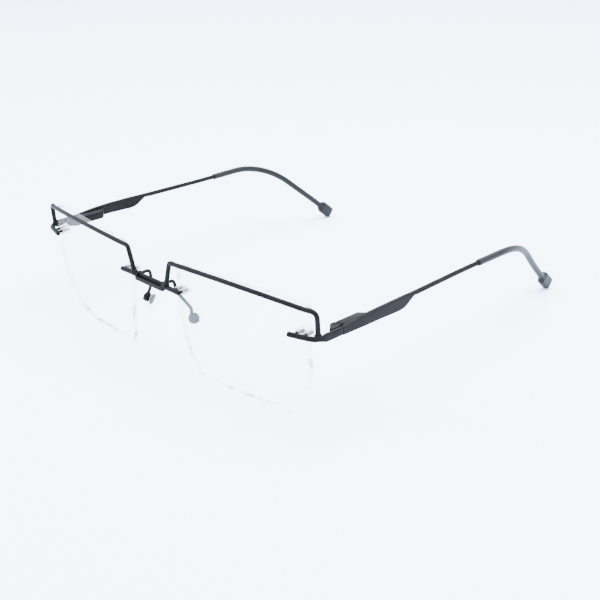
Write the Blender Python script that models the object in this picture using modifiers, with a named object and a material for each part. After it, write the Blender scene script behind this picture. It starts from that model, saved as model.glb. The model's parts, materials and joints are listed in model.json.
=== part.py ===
"""Rimless eyeglasses: drilled lenses on a black metal bridge and end pieces, with brow wires and spring hinges.

Lengths are in metres. +X is the wearer's left, +Y runs back along the temples and +Z is up from the table
that the lower lens edges and the temple tips stand on. Each left-hand piece is modelled on the +X side, and
its right-hand fellow is its mirror image. At the end the whole model is moved so that the origin lies at the
centre of its footprint.
"""

import math

import bmesh
import bpy
import numpy as np
from mathutils import Matrix, Vector

MM = 0.001

# Gaps between neighbouring pieces
BRAZE_GAP = 0.15 * MM
FIT_GAP = 0.1 * MM
FACE_GAP = 0.3 * MM

# Lenses
LENS_WIDTH = 52.2 * MM
LENS_HEIGHT = 38.2 * MM
LENS_SPACING = 24.6 * MM
LENS_THICKNESS = 2.0 * MM
LENS_RADIUS = 140.0 * MM
LENS_ARCH = 1.8 * MM
LENS_CORNER = 11.5 * MM
LENS_NASAL_FLARE = 4.8 * MM
LENS_WRAP = math.radians(7.1)
LENS_TILT = math.radians(5.0)

# Brow wires
WIRE_DIAMETER = 1.45 * MM
WIRE_INNER_STANDOFF = 0.9 * MM
WIRE_OUTER_STANDOFF = 0.12 * MM
WIRE_INNER_RISE = 0.85 * MM
WIRE_OUTER_DROP = 0.75 * MM
WIRE_BEND = 1.1 * MM
WIRE_OUTER_BEND = 2.0 * MM
WIRE_PAST_LENS = 3.5 * MM

# Bridge, end pieces and the posts that hold the lenses
MOUNT_DROP = 8.6 * MM
END_MOUNT_STEP = 0.65 * MM
ARM_DIAMETER = 1.7 * MM
ARM_STANDOFF = 0.2 * MM
END_ARM_STANDOFF = 1.0 * MM
BRIDGE_LENGTH = 14.6 * MM
BRIDGE_HEIGHT = 2.7 * MM
BRIDGE_DEPTH = 1.7 * MM
POST_DIAMETER = 1.0 * MM
FLANGE_GAP = 0.1 * MM
NASAL_POST_OUTSET = 0.5 * MM
OUTER_POST_INSET = 0.6 * MM
BUSHING_WALL = 0.4 * MM
BUSHING_FLANGE = 0.35 * MM
BUSHING_CAP = 0.9 * MM
BUSHING_END_WALL = 0.3 * MM
ARM_OVERHANG = 0.1 * MM
END_ARM_OVERHANG = 1.0 * MM
END_BEND = 4.5 * MM
TAB_HEIGHT = 2.6 * MM
TAB_THICKNESS = 1.3 * MM
TAB_LENGTH = 7.5 * MM

# Hinges
HINGE_BACKSET = 17.4 * MM
HINGE_OUTSET = 2.3 * MM
KNUCKLE_RADIUS = 1.45 * MM
HINGE_HEIGHT = 2.9 * MM
TONGUE_THICKNESS = 0.8 * MM
HINGE_SCREW_DIAMETER = 1.1 * MM
HINGE_SCREW_HEAD = 1.9 * MM
SCREW_HEAD_HEIGHT = 0.45 * MM
SCREW_SLOT_WIDTH = 0.25 * MM
HOUSING_WIDTH = 3.0 * MM
HOUSING_LENGTH = 10.6 * MM
HOUSING_BORE = 2.1 * MM
SLIDER_ROD = 0.8 * MM
SLIDER_HEAD = 1.8 * MM
SPRING_WIRE = 0.25 * MM
SPRING_TURNS = 5
SPRING_TRAVEL = 1.2 * MM

# Temples
BLADE_THICKNESS = 1.4 * MM
BLADE_FRONT_HEIGHT = 2.8 * MM
BLADE_HEIGHT = 4.0 * MM
BLADE_LENGTH = 33.4 * MM
TEMPLE_ROD = 1.7 * MM
TEMPLE_CORE = 1.1 * MM
TEMPLE_REACH = 95.5 * MM
HOOK_ANGLE = math.radians(40.0)
HOOK_RADIUS = 40.0 * MM
TEMPLE_TAPER_IN = 1.4 * MM
HOOK_SWEEP_IN = 9.2 * MM
SLEEVE_DIAMETER = 2.4 * MM
SLEEVE_LEAD = 12.4 * MM
SLEEVE_BORE_GAP = 0.15 * MM
PADDLE_WIDTH = 4.9 * MM
PADDLE_THICKNESS = 3.0 * MM
PADDLE_LENGTH = 7.6 * MM

# Nose pads
PAD_ARM_DIAMETER = 1.15 * MM
PAD_OUTSET = 12.5 * MM
PAD_BACKSET = 7.8 * MM
PAD_DROP = 12.25 * MM
PAD_LENGTH = 13.0 * MM
PAD_WIDTH = 7.2 * MM
PAD_THICKNESS = 2.2 * MM
PAD_BOX_WIDTH = 2.6 * MM
PAD_BOX_SIZE = 2.7 * MM
PAD_LUG_WIDTH = 1.1 * MM
PAD_SCREW_DIAMETER = 0.7 * MM
PAD_PLATE_DIAMETER = 3.8 * MM
PAD_PLATE_THICKNESS = 0.7 * MM

# Derived places
LENS_INNER = LENS_SPACING / 2
LENS_OUTER = LENS_INNER + LENS_WIDTH
LENS_MIDDLE = LENS_INNER + LENS_WIDTH / 2
MOUNT_HEIGHT = LENS_HEIGHT - MOUNT_DROP
END_MOUNT_HEIGHT = MOUNT_HEIGHT - END_MOUNT_STEP
WIRE_RADIUS = WIRE_DIAMETER / 2
ARM_RADIUS = ARM_DIAMETER / 2
POST_RADIUS = POST_DIAMETER / 2
BUSHING_BORE = POST_RADIUS + FIT_GAP
BUSHING_RADIUS = BUSHING_BORE + BUSHING_WALL
LENS_HOLE_RADIUS = BUSHING_RADIUS + FIT_GAP
POST_SPACING = 2 * (BUSHING_RADIUS + BUSHING_FLANGE) + FLANGE_GAP
FRONT_SHIFT = 1.2 * MM
HINGE = Vector((LENS_OUTER + HINGE_OUTSET, HINGE_BACKSET, END_MOUNT_HEIGHT - 0.1 * MM))
BLADE_INNER = HINGE.x + KNUCKLE_RADIUS + FACE_GAP
BLADE_OUTER = BLADE_INNER + BLADE_THICKNESS
BLADE_START = HINGE.y - 0.1 * MM
HOUSING_START = HINGE.y + KNUCKLE_RADIUS + FIT_GAP
HOUSING_END = HOUSING_START + HOUSING_LENGTH
TEMPLE_Z = HINGE.z + 1.6 * MM
HOOK_CORNER = HINGE.y + TEMPLE_REACH
HOOK_START = HOOK_CORNER - HOOK_RADIUS * math.tan(HOOK_ANGLE / 2)
SLEEVE_START = HOOK_START - SLEEVE_LEAD
WIRE_FOOT = BRIDGE_LENGTH / 2 + WIRE_RADIUS + FIT_GAP

METAL = ("black_metal", (0.025, 0.026, 0.028), 0.42, 0.9)
STEEL = ("bright_steel", (0.55, 0.56, 0.58), 0.3, 1.0)
LENS = ("clear_lens", (0.9, 0.93, 0.95), 0.05, 0.0)
CLEAR = ("clear_plastic", (0.85, 0.87, 0.88), 0.15, 0.0)
SILICONE = ("clear_silicone", (0.82, 0.84, 0.84), 0.3, 0.0)
SLEEVE = ("grey_sleeve", (0.04, 0.043, 0.047), 0.55, 0.0)


# ---------------------------------------------------------------- scene and mesh helpers


def clear_scene():
    """Removes every object that is already in the file."""
    for old in list(bpy.data.objects):
        bpy.data.objects.remove(old, do_unlink=True)


def new_collection(name):
    made = bpy.data.collections.new(name)
    bpy.context.scene.collection.children.link(made)
    return made


clear_scene()
PARTS = new_collection("eyeglasses")
CUTTERS = new_collection("cutters")


def material(finish):
    """The Principled material of a finish, made once and shared by its pieces."""
    name, colour, roughness, metallic = finish
    made = bpy.data.materials.get(name)
    if made is None:
        made = bpy.data.materials.new(name)
        made.use_nodes = True
        shader = made.node_tree.nodes["Principled BSDF"]
        shader.inputs["Base Color"].default_value = (*colour, 1.0)
        shader.inputs["Roughness"].default_value = roughness
        shader.inputs["Metallic"].default_value = metallic
    return made


def link(obj):
    CUTTERS.objects.link(obj)
    obj.hide_render = True
    obj.display_type = "WIRE"
    return obj


def baked(obj):
    """A plain mesh object with obj's evaluated shape in world space. obj is removed."""
    bpy.context.view_layer.update()
    evaluated = obj.evaluated_get(bpy.context.evaluated_depsgraph_get())
    mesh = bpy.data.meshes.new_from_object(evaluated)
    mesh.transform(obj.matrix_world)
    weld = bmesh.new()
    weld.from_mesh(mesh)
    bmesh.ops.remove_doubles(weld, verts=weld.verts, dist=1e-7)
    weld.to_mesh(mesh)
    weld.free()
    name = obj.name
    bpy.data.objects.remove(obj, do_unlink=True)
    return link(bpy.data.objects.new(name, mesh))


def boolean(obj, other, operation):
    """obj cut by, joined to or kept inside other, which is used up."""
    step = obj.modifiers.new(operation.lower(), "BOOLEAN")
    step.operation = operation
    step.object = other
    step.solver = "EXACT"
    result = baked(obj)
    bpy.data.objects.remove(other, do_unlink=True)
    return result


def cut(obj, *others):
    for other in others:
        obj = boolean(obj, other, "DIFFERENCE")
    return obj


def join(obj, *others):
    for other in others:
        obj = boolean(obj, other, "UNION")
    return obj


def bevelled(obj, width, segments=1):
    step = obj.modifiers.new("edges", "BEVEL")
    step.width = width
    step.segments = segments
    step.limit_method = "ANGLE"
    step.angle_limit = math.radians(50)
    return baked(obj)


def box(low, high):
    """A box between two corners."""
    made = bmesh.new()
    bmesh.ops.create_cube(made, size=1.0)
    low, high = Vector(low), Vector(high)
    for vertex in made.verts:
        vertex.co = (low + high) / 2 + Vector(c * s for c, s in zip(vertex.co, high - low))
    mesh = bpy.data.meshes.new("box")
    made.to_mesh(mesh)
    made.free()
    return link(bpy.data.objects.new("box", mesh))


def cylinder(start, end, radius, sides=16):
    """A cylinder from one point to another."""
    start, end = Vector(start), Vector(end)
    along = end - start
    made = bmesh.new()
    bmesh.ops.create_cone(
        made, cap_ends=True, segments=sides, radius1=radius, radius2=radius, depth=along.length
    )
    turn = along.to_track_quat("Z", "Y").to_matrix().to_4x4()
    bmesh.ops.transform(made, matrix=Matrix.Translation((start + end) / 2) @ turn, verts=made.verts)
    mesh = bpy.data.meshes.new("cylinder")
    made.to_mesh(mesh)
    made.free()
    return link(bpy.data.objects.new("cylinder", mesh))


def ball(centre, radius, sides=12):
    made = bmesh.new()
    bmesh.ops.create_uvsphere(made, u_segments=sides, v_segments=sides // 2, radius=radius)
    bmesh.ops.translate(made, vec=Vector(centre), verts=made.verts)
    mesh = bpy.data.meshes.new("ball")
    made.to_mesh(mesh)
    made.free()
    return link(bpy.data.objects.new("ball", mesh))


def turned(profile, place, sides=16):
    """A turned piece: (radius, height) pairs from the top of its axis down the outer side to the bottom."""
    mesh = bpy.data.meshes.new("turned")
    edges = [(i, i + 1) for i in range(len(profile) - 1)]
    mesh.from_pydata([(radius, 0.0, height) for radius, height in profile], edges, [])
    obj = link(bpy.data.objects.new("turned", mesh))
    obj.matrix_world = place
    spin = obj.modifiers.new("turn", "SCREW")
    spin.steps = sides
    spin.render_steps = sides
    spin.use_merge_vertices = True
    spin.merge_threshold = 1e-6
    return baked(obj)


def plate(outline, low, high, place=Matrix.Identity(4)):
    """A flat outline of (x, y) points, filled and extruded from z=low to z=high, then placed."""
    curve = bpy.data.curves.new("plate", "CURVE")
    curve.dimensions = "2D"
    curve.fill_mode = "BOTH"
    curve.extrude = (high - low) / 2
    spline = curve.splines.new("POLY")
    spline.points.add(len(outline) - 1)
    for point, (x, y) in zip(spline.points, outline):
        point.co = (x, y, 0.0, 1.0)
    spline.use_cyclic_u = True
    obj = link(bpy.data.objects.new("plate", curve))
    obj.matrix_world = place @ Matrix.Translation((0, 0, (low + high) / 2))
    return baked(obj)


def wire(points, radius, resolution=2, radii=None):
    """A round wire through the points, with flat ends. radii are shares of radius, one for each point."""
    curve = bpy.data.curves.new("wire", "CURVE")
    curve.dimensions = "3D"
    curve.bevel_depth = radius
    curve.bevel_resolution = resolution
    curve.use_fill_caps = True
    spline = curve.splines.new("POLY")
    spline.points.add(len(points) - 1)
    for i, place in enumerate(points):
        spline.points[i].co = (*place, 1.0)
        spline.points[i].radius = radii[i] if radii else 1.0
    return baked(link(bpy.data.objects.new("wire", curve)))


def loft(rings):
    """A closed body through rings of points, each ring in order round the path, with flat ends."""
    rings = np.asarray(rings, float)
    count, around = rings.shape[:2]
    mesh = bpy.data.meshes.new("loft")
    faces = [
        (i * around + j, i * around + (j + 1) % around,
         (i + 1) * around + (j + 1) % around, (i + 1) * around + j)
        for i in range(count - 1)
        for j in range(around)
    ]
    faces.append(tuple(reversed(range(around))))
    faces.append(tuple((count - 1) * around + j for j in range(around)))
    mesh.from_pydata(rings.reshape(-1, 3).tolist(), [], faces)
    made = bmesh.new()
    made.from_mesh(mesh)
    bmesh.ops.recalc_face_normals(made, faces=made.faces)
    made.to_mesh(mesh)
    made.free()
    return link(bpy.data.objects.new("loft", mesh))


def rounded(corners, steps=4):
    """A path or outline whose (point, radius) corners are rounded; a radius of 0 keeps the point sharp."""
    out = []
    for i, (corner, radius) in enumerate(corners):
        corner = np.asarray(corner, float)
        if radius == 0:
            out.append(corner)
            continue
        before = np.asarray(corners[i - 1][0], float) - corner
        after = np.asarray(corners[(i + 1) % len(corners)][0], float) - corner
        before /= np.linalg.norm(before)
        after /= np.linalg.norm(after)
        half = math.acos(np.clip(before @ after, -1, 1)) / 2
        centre = corner + (before + after) / np.linalg.norm(before + after) * radius / math.sin(half)
        first = corner + before * radius / math.tan(half) - centre
        last = corner + after * radius / math.tan(half) - centre
        sweep = math.pi - 2 * half
        for k in range(steps + 1):
            share = k / steps
            weights = math.sin((1 - share) * sweep), math.sin(share * sweep)
            out.append(centre + (weights[0] * first + weights[1] * last) / math.sin(sweep))
    return out


def resampled(points, step):
    """The path with a point at most every step, its own points kept."""
    out = [np.asarray(points[0], float)]
    for a, b in zip(points[:-1], points[1:]):
        a, b = np.asarray(a, float), np.asarray(b, float)
        count = max(1, math.ceil(np.linalg.norm(b - a) / step))
        out.extend(a + (b - a) * k / count for k in range(1, count + 1))
    return out


def smooth(share):
    """0 to 1 with level ends."""
    share = min(max(share, 0.0), 1.0)
    return share * share * (3 - 2 * share)


def pivot(name, place, parent):
    """An empty on a joint's axis, which its pieces are parented to."""
    made = bpy.data.objects.new(name, None)
    PARTS.objects.link(made)
    made.empty_display_size = 3 * MM
    made.location = Vector(place) - (parent.matrix_world.translation if parent else Vector())
    made.parent = parent
    bpy.context.view_layer.update()
    return made


def finished(obj, name, finish, parent, sharp=math.radians(35)):
    """obj as a finished piece: named, its origin on its parent's, with its material."""
    CUTTERS.objects.unlink(obj)
    PARTS.objects.link(obj)
    obj.name = name
    obj.data.name = name
    obj.hide_render = False
    obj.display_type = "TEXTURED"
    obj.data.materials.clear()
    obj.data.materials.append(material(finish))
    obj.data.transform(Matrix.Translation(-parent.matrix_world.translation))
    obj.parent = parent
    for face in obj.data.polygons:
        face.use_smooth = True
    obj.data.set_sharp_from_angle(angle=sharp)
    return obj


def mirrored(obj, name, parent):
    """The mirror image of a finished left-hand piece, as a piece of its own."""
    mesh = obj.data.copy()
    mesh.transform(Matrix.Diagonal((-1, 1, 1, 1)))
    mesh.flip_normals()
    mesh.name = name
    made = bpy.data.objects.new(name, mesh)
    PARTS.objects.link(made)
    made.parent = parent
    return made


# ---------------------------------------------------------------- front


def lens_bowl(x, z):
    """Depth of the left lens's front about its middle: a shallow bowl, wrapped outwards and tilted."""
    across, up = x - LENS_MIDDLE, z - LENS_HEIGHT / 2
    bowl = (across**2 + up**2) / (2 * LENS_RADIUS)
    return across * math.tan(LENS_WRAP) - up * math.tan(LENS_TILT) + bowl


LENS_SET_BACK = FRONT_SHIFT - lens_bowl(LENS_INNER, LENS_HEIGHT)


def lens_front(x, z):
    """How far back the left lens's front surface lies."""
    return lens_bowl(x, z) + LENS_SET_BACK


def lens_top(x):
    """The height of the lens's arched top edge."""
    share = (x - LENS_MIDDLE) / (LENS_WIDTH / 2)
    return LENS_HEIGHT + LENS_ARCH * (1 - share**2)


def lens_outline():
    """The lens's outline seen from the front: arched top, flat bottom, a wide lower outer corner."""
    top = [LENS_OUTER - LENS_WIDTH * k / 12 for k in range(1, 12)]
    corners = [
        ((LENS_OUTER, lens_top(LENS_OUTER)), 1.6 * MM),
        *(((x, lens_top(x)), 0) for x in top),
        ((LENS_INNER, lens_top(LENS_INNER)), 1.2 * MM),
        ((LENS_INNER + 0.1 * MM, LENS_HEIGHT * 0.52), 16 * MM),
        ((LENS_INNER + LENS_NASAL_FLARE, 0), 1.6 * MM),
        ((LENS_OUTER - LENS_CORNER, 0), LENS_CORNER * 1.2),
        ((LENS_OUTER, LENS_CORNER), LENS_CORNER * 1.2),
    ]
    return rounded(corners, steps=5)


# The x and height of each lens post: two on the bridge's arm and two on the end piece's arm
NOTCH_X = LENS_INNER - NASAL_POST_OUTSET
OUTER_X = LENS_OUTER - OUTER_POST_INSET
NASAL_POSTS = {"notch": (NOTCH_X, MOUNT_HEIGHT), "nasal": (NOTCH_X + POST_SPACING, MOUNT_HEIGHT)}
OUTER_POSTS = {"outer": (OUTER_X, END_MOUNT_HEIGHT), "tip": (OUTER_X - POST_SPACING, END_MOUNT_HEIGHT)}
ALL_POSTS = {**NASAL_POSTS, **OUTER_POSTS}


def make_lens():
    """A bent sheet of even thickness, kept inside the outline, drilled and notched for its bushings."""
    across, up = 16, 12
    margin = 3 * MM
    made = bmesh.new()
    bmesh.ops.create_grid(made, x_segments=across, y_segments=up, size=0.5)
    for vertex in made.verts:
        x = LENS_MIDDLE + vertex.co.x * (LENS_WIDTH + 2 * margin)
        z = (LENS_HEIGHT + LENS_ARCH) / 2 + vertex.co.y * (LENS_HEIGHT + LENS_ARCH + 2 * margin)
        vertex.co = (x, lens_front(x, z), z)
    mesh = bpy.data.meshes.new("lens")
    made.to_mesh(mesh)
    made.free()
    sheet = link(bpy.data.objects.new("lens", mesh))
    wall = sheet.modifiers.new("thickness", "SOLIDIFY")
    wall.thickness = LENS_THICKNESS
    wall.offset = -1.0
    sheet = baked(sheet)
    depth = 40 * MM
    upright = Matrix.Rotation(math.radians(90), 4, "X")
    blank = plate(lens_outline(), -depth, depth, upright)
    lens = boolean(sheet, blank, "INTERSECT")
    for x, z in ALL_POSTS.values():
        lens = cut(lens, cylinder((x, -depth, z), (x, depth, z), LENS_HOLE_RADIUS))
    return lens


def bushing_seat(x, z):
    """How far back a bushing's flange sits: clear of the lens's back, which slopes across the flange."""
    reach = BUSHING_RADIUS + BUSHING_FLANGE
    slope = abs(lens_front(x + reach, z) - lens_front(x - reach, z)) / 2
    return lens_front(x, z) + LENS_THICKNESS + slope + FACE_GAP


def make_bushing(x, z):
    """A clear sleeve with a flange and a closed cap behind the lens, turned about a post."""
    flange = BUSHING_RADIUS + BUSHING_FLANGE
    back = bushing_seat(x, z)
    front = lens_front(x, z) + FACE_GAP
    cap = back + BUSHING_CAP
    profile = [
        (0, cap),
        (flange - 0.2 * MM, cap),
        (flange, cap - 0.2 * MM),
        (flange, back),
        (BUSHING_RADIUS, back),
        (BUSHING_RADIUS, front),
        (BUSHING_BORE, front),
        (BUSHING_BORE, cap - BUSHING_END_WALL),
        (0, cap - BUSHING_END_WALL),
    ]
    lay_back = Matrix.Rotation(math.radians(-90), 4, "X")
    return turned(profile, Matrix.Translation((x, 0, z)) @ lay_back, sides=12)


def arm_y(x):
    """Where the centre line of a bridge arm lies in front of the lens."""
    return lens_front(x, MOUNT_HEIGHT) - ARM_RADIUS - ARM_STANDOFF


def end_arm_y(x):
    """Where the centre line of an end piece's arm lies in front of the lens."""
    return lens_front(x, END_MOUNT_HEIGHT) - ARM_RADIUS - END_ARM_STANDOFF


BRIDGE_Y = arm_y(LENS_INNER)


def make_post(x, y, z):
    """A post from an arm's centre line at y through the lens, ending inside its bushing's cap."""
    end = bushing_seat(x, z) + BUSHING_CAP - BUSHING_END_WALL - FIT_GAP
    return cylinder((x, y, z), (x, end, z), POST_RADIUS, sides=10)


def make_bridge():
    """A fluted bar with an arm and two lens posts at each end."""
    half_h = BRIDGE_HEIGHT / 2
    back, front = ARM_RADIUS * 0.85, ARM_RADIUS * 0.85 - BRIDGE_DEPTH
    section = [
        (back, -half_h * 0.5), (back, half_h), (-0.1 * MM, half_h), (-0.35 * MM, half_h * 0.35),
        (-0.75 * MM, half_h * 0.05), (front + 0.25 * MM, half_h * 0.15), (front, -half_h * 0.1),
        (front, -half_h), (front + 0.35 * MM, -half_h - 0.15 * MM), (back - 0.5 * MM, -half_h - 0.15 * MM),
    ]
    centre = Vector((0, BRIDGE_Y - 0.04 * MM, MOUNT_HEIGHT - 0.25 * MM))
    along_x = Matrix(((0, 0, 1, 0), (1, 0, 0, 0), (0, 1, 0, 0), (0, 0, 0, 1)))
    bar = plate(section, -BRIDGE_LENGTH / 2, BRIDGE_LENGTH / 2, Matrix.Translation(centre) @ along_x)
    tip = NOTCH_X + POST_SPACING + ARM_OVERHANG
    start = BRIDGE_LENGTH / 2 - 1.5 * MM
    reach = [start, LENS_INNER - MM, (LENS_INNER + tip) / 2, tip]
    arm = [Vector((x, arm_y(max(x, LENS_INNER)), MOUNT_HEIGHT)) for x in reach]
    for side in (1, -1):
        ends = [Vector((side * place.x, place.y, place.z)) for place in arm]
        bar = join(bar, wire(ends, ARM_RADIUS))
        bar = join(bar, ball(ends[-1], ARM_RADIUS * 0.99))
        for x, z in NASAL_POSTS.values():
            post = make_post(x, arm_y(x), z)
            post.data.transform(Matrix.Diagonal((side, 1, 1, 1)))
            if side < 0:
                post.data.flip_normals()
            bar = join(bar, post)
    return bar


def wire_path():
    """The brow wire's centre line: up from the bridge arm, along the lens's top and down to the end piece."""
    inner = LENS_INNER - 1.4 * MM
    past = LENS_OUTER + WIRE_PAST_LENS

    def along_top(x):
        share = (x - inner) / (LENS_OUTER - inner)
        rise = (WIRE_INNER_RISE + WIRE_OUTER_DROP) * max(1 - share, 0) ** 1.7 - WIRE_OUTER_DROP
        standoff = WIRE_OUTER_STANDOFF + (WIRE_INNER_STANDOFF - WIRE_OUTER_STANDOFF) * max(1 - share, 0)
        z = lens_top(min(max(x, LENS_INNER), LENS_OUTER)) + rise
        return (x, lens_front(x, z) - WIRE_RADIUS - standoff, z)

    run = [inner + (LENS_OUTER - inner) * k / 11 for k in range(1, 12)]
    foot_z = ARM_RADIUS + WIRE_RADIUS * 0.4 + BRAZE_GAP
    corners = [
        ((WIRE_FOOT, BRIDGE_Y, MOUNT_HEIGHT + foot_z), 0),
        (along_top(inner), WIRE_BEND),
        *((along_top(x), 0) for x in run),
        (along_top(past), WIRE_OUTER_BEND),
        ((*WIRE_LANDING, END_MOUNT_HEIGHT + foot_z + 0.15 * MM), 0),
    ]
    return rounded(corners, steps=5)


# The end piece's centre line, seen from above: along the lens, round its edge and back to the hinge
TAB_X = BLADE_OUTER - TAB_THICKNESS / 2
TAB_END = BLADE_START - FIT_GAP
WIRE_LANDING = Vector((TAB_X - 0.29 * END_BEND, end_arm_y(TAB_X) + 0.29 * END_BEND))


def end_piece_path():
    tip = OUTER_X - POST_SPACING - END_ARM_OVERHANG
    corners = [
        ((tip, end_arm_y(tip)), 0),
        ((OUTER_X, end_arm_y(OUTER_X)), 0),
        ((TAB_X, end_arm_y(TAB_X)), END_BEND),
        ((TAB_X, TAB_END), 0),
    ]
    return resampled(rounded(corners, steps=4), 1.6 * MM)


def make_end_piece():
    """A round arm that bends round the lens's edge and flattens into the tab that carries the hinge."""
    path = end_piece_path()
    lengths = np.concatenate([[0], np.cumsum([np.linalg.norm(b - a) for a, b in zip(path[:-1], path[1:])])])
    rings = []
    around = 12
    for i, place in enumerate(path):
        along = path[min(i + 1, len(path) - 1)] - path[max(i - 1, 0)]
        along /= np.linalg.norm(along)
        flat = smooth((lengths[i] - (lengths[-1] - TAB_LENGTH - 1.5 * MM)) / (2.5 * MM))
        half_w = ARM_RADIUS + (TAB_THICKNESS / 2 - ARM_RADIUS) * flat
        half_h = ARM_RADIUS + (TAB_HEIGHT / 2 - ARM_RADIUS) * flat
        power = 1.0 - 0.55 * flat
        ring = []
        for k in range(around):
            angle = 2 * math.pi * (k + 0.5) / around
            c, s = math.cos(angle), math.sin(angle)
            w = half_w * math.copysign(abs(c) ** power, c)
            h = half_h * math.copysign(abs(s) ** power, s)
            ring.append((place[0] + along[1] * w, place[1] - along[0] * w, END_MOUNT_HEIGHT + h))
        rings.append(ring)
    piece = loft(rings)
    tip = path[0]
    piece = join(piece, ball((tip[0], tip[1], END_MOUNT_HEIGHT), ARM_RADIUS))
    return join(piece, *(make_post(x, end_arm_y(x), z) for x, z in OUTER_POSTS.values()))


# ---------------------------------------------------------------- hinge


def arc(centre, radius, start, end, steps):
    """Points of an arc in the plane, its angles in degrees."""
    return [
        (centre[0] + radius * math.cos(math.radians(start + (end - start) * k / steps)),
         centre[1] + radius * math.sin(math.radians(start + (end - start) * k / steps)))
        for k in range(steps + 1)
    ]


HINGE_TOP = HINGE.z + HINGE_HEIGHT / 2
HINGE_BOTTOM = HINGE.z - HINGE_HEIGHT / 2
TONGUE_HALF = TONGUE_THICKNESS / 2
HEAD_RECESS = SCREW_HEAD_HEIGHT + 0.1 * MM
SCREW_RADIUS = HINGE_SCREW_DIAMETER / 2
HEAD_RADIUS = HINGE_SCREW_HEAD / 2


def upright(low, high, radius, sides=16):
    """A round bar on the hinge's axis between two heights."""
    return cylinder((HINGE.x, HINGE.y, low), (HINGE.x, HINGE.y, high), radius, sides=sides)


def lengthwise(start, end, radius, sides=16):
    """A round bar along the slider's rod between two places in y."""
    return cylinder((HINGE.x, start, HINGE.z), (HINGE.x, end, HINGE.z), radius, sides=sides)


def make_hinge_fork():
    """Two knuckles on one root, brazed to the inside of the end piece's tab."""
    root_x = TAB_X - TAB_THICKNESS / 2 - BRAZE_GAP
    root_y = HINGE.y - KNUCKLE_RADIUS - 2.2 * MM
    outline = [
        (root_x, root_y),
        (root_x, HINGE.y - 0.9 * MM),
        *arc((HINGE.x, HINGE.y), KNUCKLE_RADIUS, 20, 180, 9),
        (HINGE.x - KNUCKLE_RADIUS, HINGE.y - 1.2 * MM),
        (root_x - 1.0 * MM, root_y),
    ]
    fork = plate(outline, HINGE_BOTTOM, HINGE_TOP)
    slot = TONGUE_HALF + FIT_GAP
    clear = KNUCKLE_RADIUS + FACE_GAP
    gap = join(
        box((HINGE.x - 4 * MM, HINGE.y, HINGE.z - slot), (HINGE.x + 4 * MM, HINGE.y + 4 * MM, HINGE.z + slot)),
        upright(HINGE.z - slot, HINGE.z + slot, clear, sides=20),
    )
    hole = upright(HINGE_BOTTOM - MM, HINGE_TOP + MM, SCREW_RADIUS + FIT_GAP)
    recess = upright(HINGE_TOP - HEAD_RECESS, HINGE_TOP + MM, HEAD_RADIUS + FIT_GAP)
    return cut(fork, gap, hole, recess)


def make_hinge_screw():
    """A cheese-head screw down the hinge's axis, slotted."""
    under_head = HINGE_TOP - HEAD_RECESS + 0.05 * MM
    top = under_head + SCREW_HEAD_HEIGHT
    profile = [
        (0, top),
        (HEAD_RADIUS - 0.1 * MM, top),
        (HEAD_RADIUS, top - 0.1 * MM),
        (HEAD_RADIUS, under_head),
        (SCREW_RADIUS, under_head),
        (SCREW_RADIUS, HINGE_BOTTOM + 0.2 * MM),
        (SCREW_RADIUS - 0.15 * MM, HINGE_BOTTOM + 0.05 * MM),
        (0, HINGE_BOTTOM + 0.05 * MM),
    ]
    screw = turned(profile, Matrix.Translation((HINGE.x, HINGE.y, 0)))
    half = SCREW_SLOT_WIDTH / 2
    slot = box(
        (HINGE.x - half, HINGE.y - HEAD_RADIUS * 2, top - 0.2 * MM),
        (HINGE.x + half, HINGE.y + HEAD_RADIUS * 2, top + MM),
    )
    return cut(screw, slot)


ROD_START = HOUSING_START + 1.2 * MM
HEAD_FRONT = HOUSING_END - 1.9 * MM
HEAD_THICKNESS = 0.8 * MM
COLLAR_THICKNESS = 0.9 * MM
COLLAR_FRONT = HOUSING_START + SPRING_TRAVEL + 1.3 * MM


def make_slider():
    """The hinge's tongue, with its block in the housing and the rod and head that draw the spring together."""
    tongue = plate(
        [
            *arc((HINGE.x, HINGE.y), KNUCKLE_RADIUS, -180, 0, 10),
            (HINGE.x + HOUSING_BORE / 2 - 0.15 * MM, HINGE.y + 0.6 * MM),
            (HINGE.x + HOUSING_BORE / 2 - 0.15 * MM, ROD_START),
            (HINGE.x - HOUSING_BORE / 2 + 0.15 * MM, ROD_START),
            (HINGE.x - HOUSING_BORE / 2 + 0.15 * MM, HINGE.y + 0.6 * MM),
        ],
        HINGE.z - TONGUE_HALF,
        HINGE.z + TONGUE_HALF,
    )
    rod = lengthwise(ROD_START - 0.6 * MM, HEAD_FRONT + 0.2 * MM, SLIDER_ROD / 2, sides=10)
    head = lengthwise(HEAD_FRONT, HEAD_FRONT + HEAD_THICKNESS, SLIDER_HEAD / 2)
    slider = join(tongue, rod, head)
    hole = upright(HINGE.z - MM, HINGE.z + MM, SCREW_RADIUS + FIT_GAP)
    return cut(slider, hole)


def make_housing():
    """The spring's box on the inside of the temple: square front, slanted rear, bored from the front."""
    outer = BLADE_INNER - BRAZE_GAP
    inner = outer - HOUSING_WIDTH
    slant = 2.6 * MM
    outline = [
        (outer, HOUSING_START),
        (outer, HOUSING_END + slant * 0.3),
        (outer - 0.6 * MM, HOUSING_END + slant * 0.3),
        (inner, HOUSING_END - slant * 0.5),
        (inner, HOUSING_START),
    ]
    shell = bevelled(plate(outline, HINGE_BOTTOM, HINGE_TOP), 0.25 * MM, 2)
    bore = lengthwise(HOUSING_START - MM, HEAD_FRONT + 1.2 * MM, HOUSING_BORE / 2)
    return cut(shell, bore)


def make_collar():
    """The ring pressed into the housing's mouth that the spring pushes against."""
    ring = lengthwise(COLLAR_FRONT, COLLAR_FRONT + COLLAR_THICKNESS, HOUSING_BORE / 2 - 0.05 * MM)
    hole = lengthwise(COLLAR_FRONT - MM, COLLAR_FRONT + 2 * MM, SLIDER_ROD / 2 + FIT_GAP)
    return cut(ring, hole)


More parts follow.
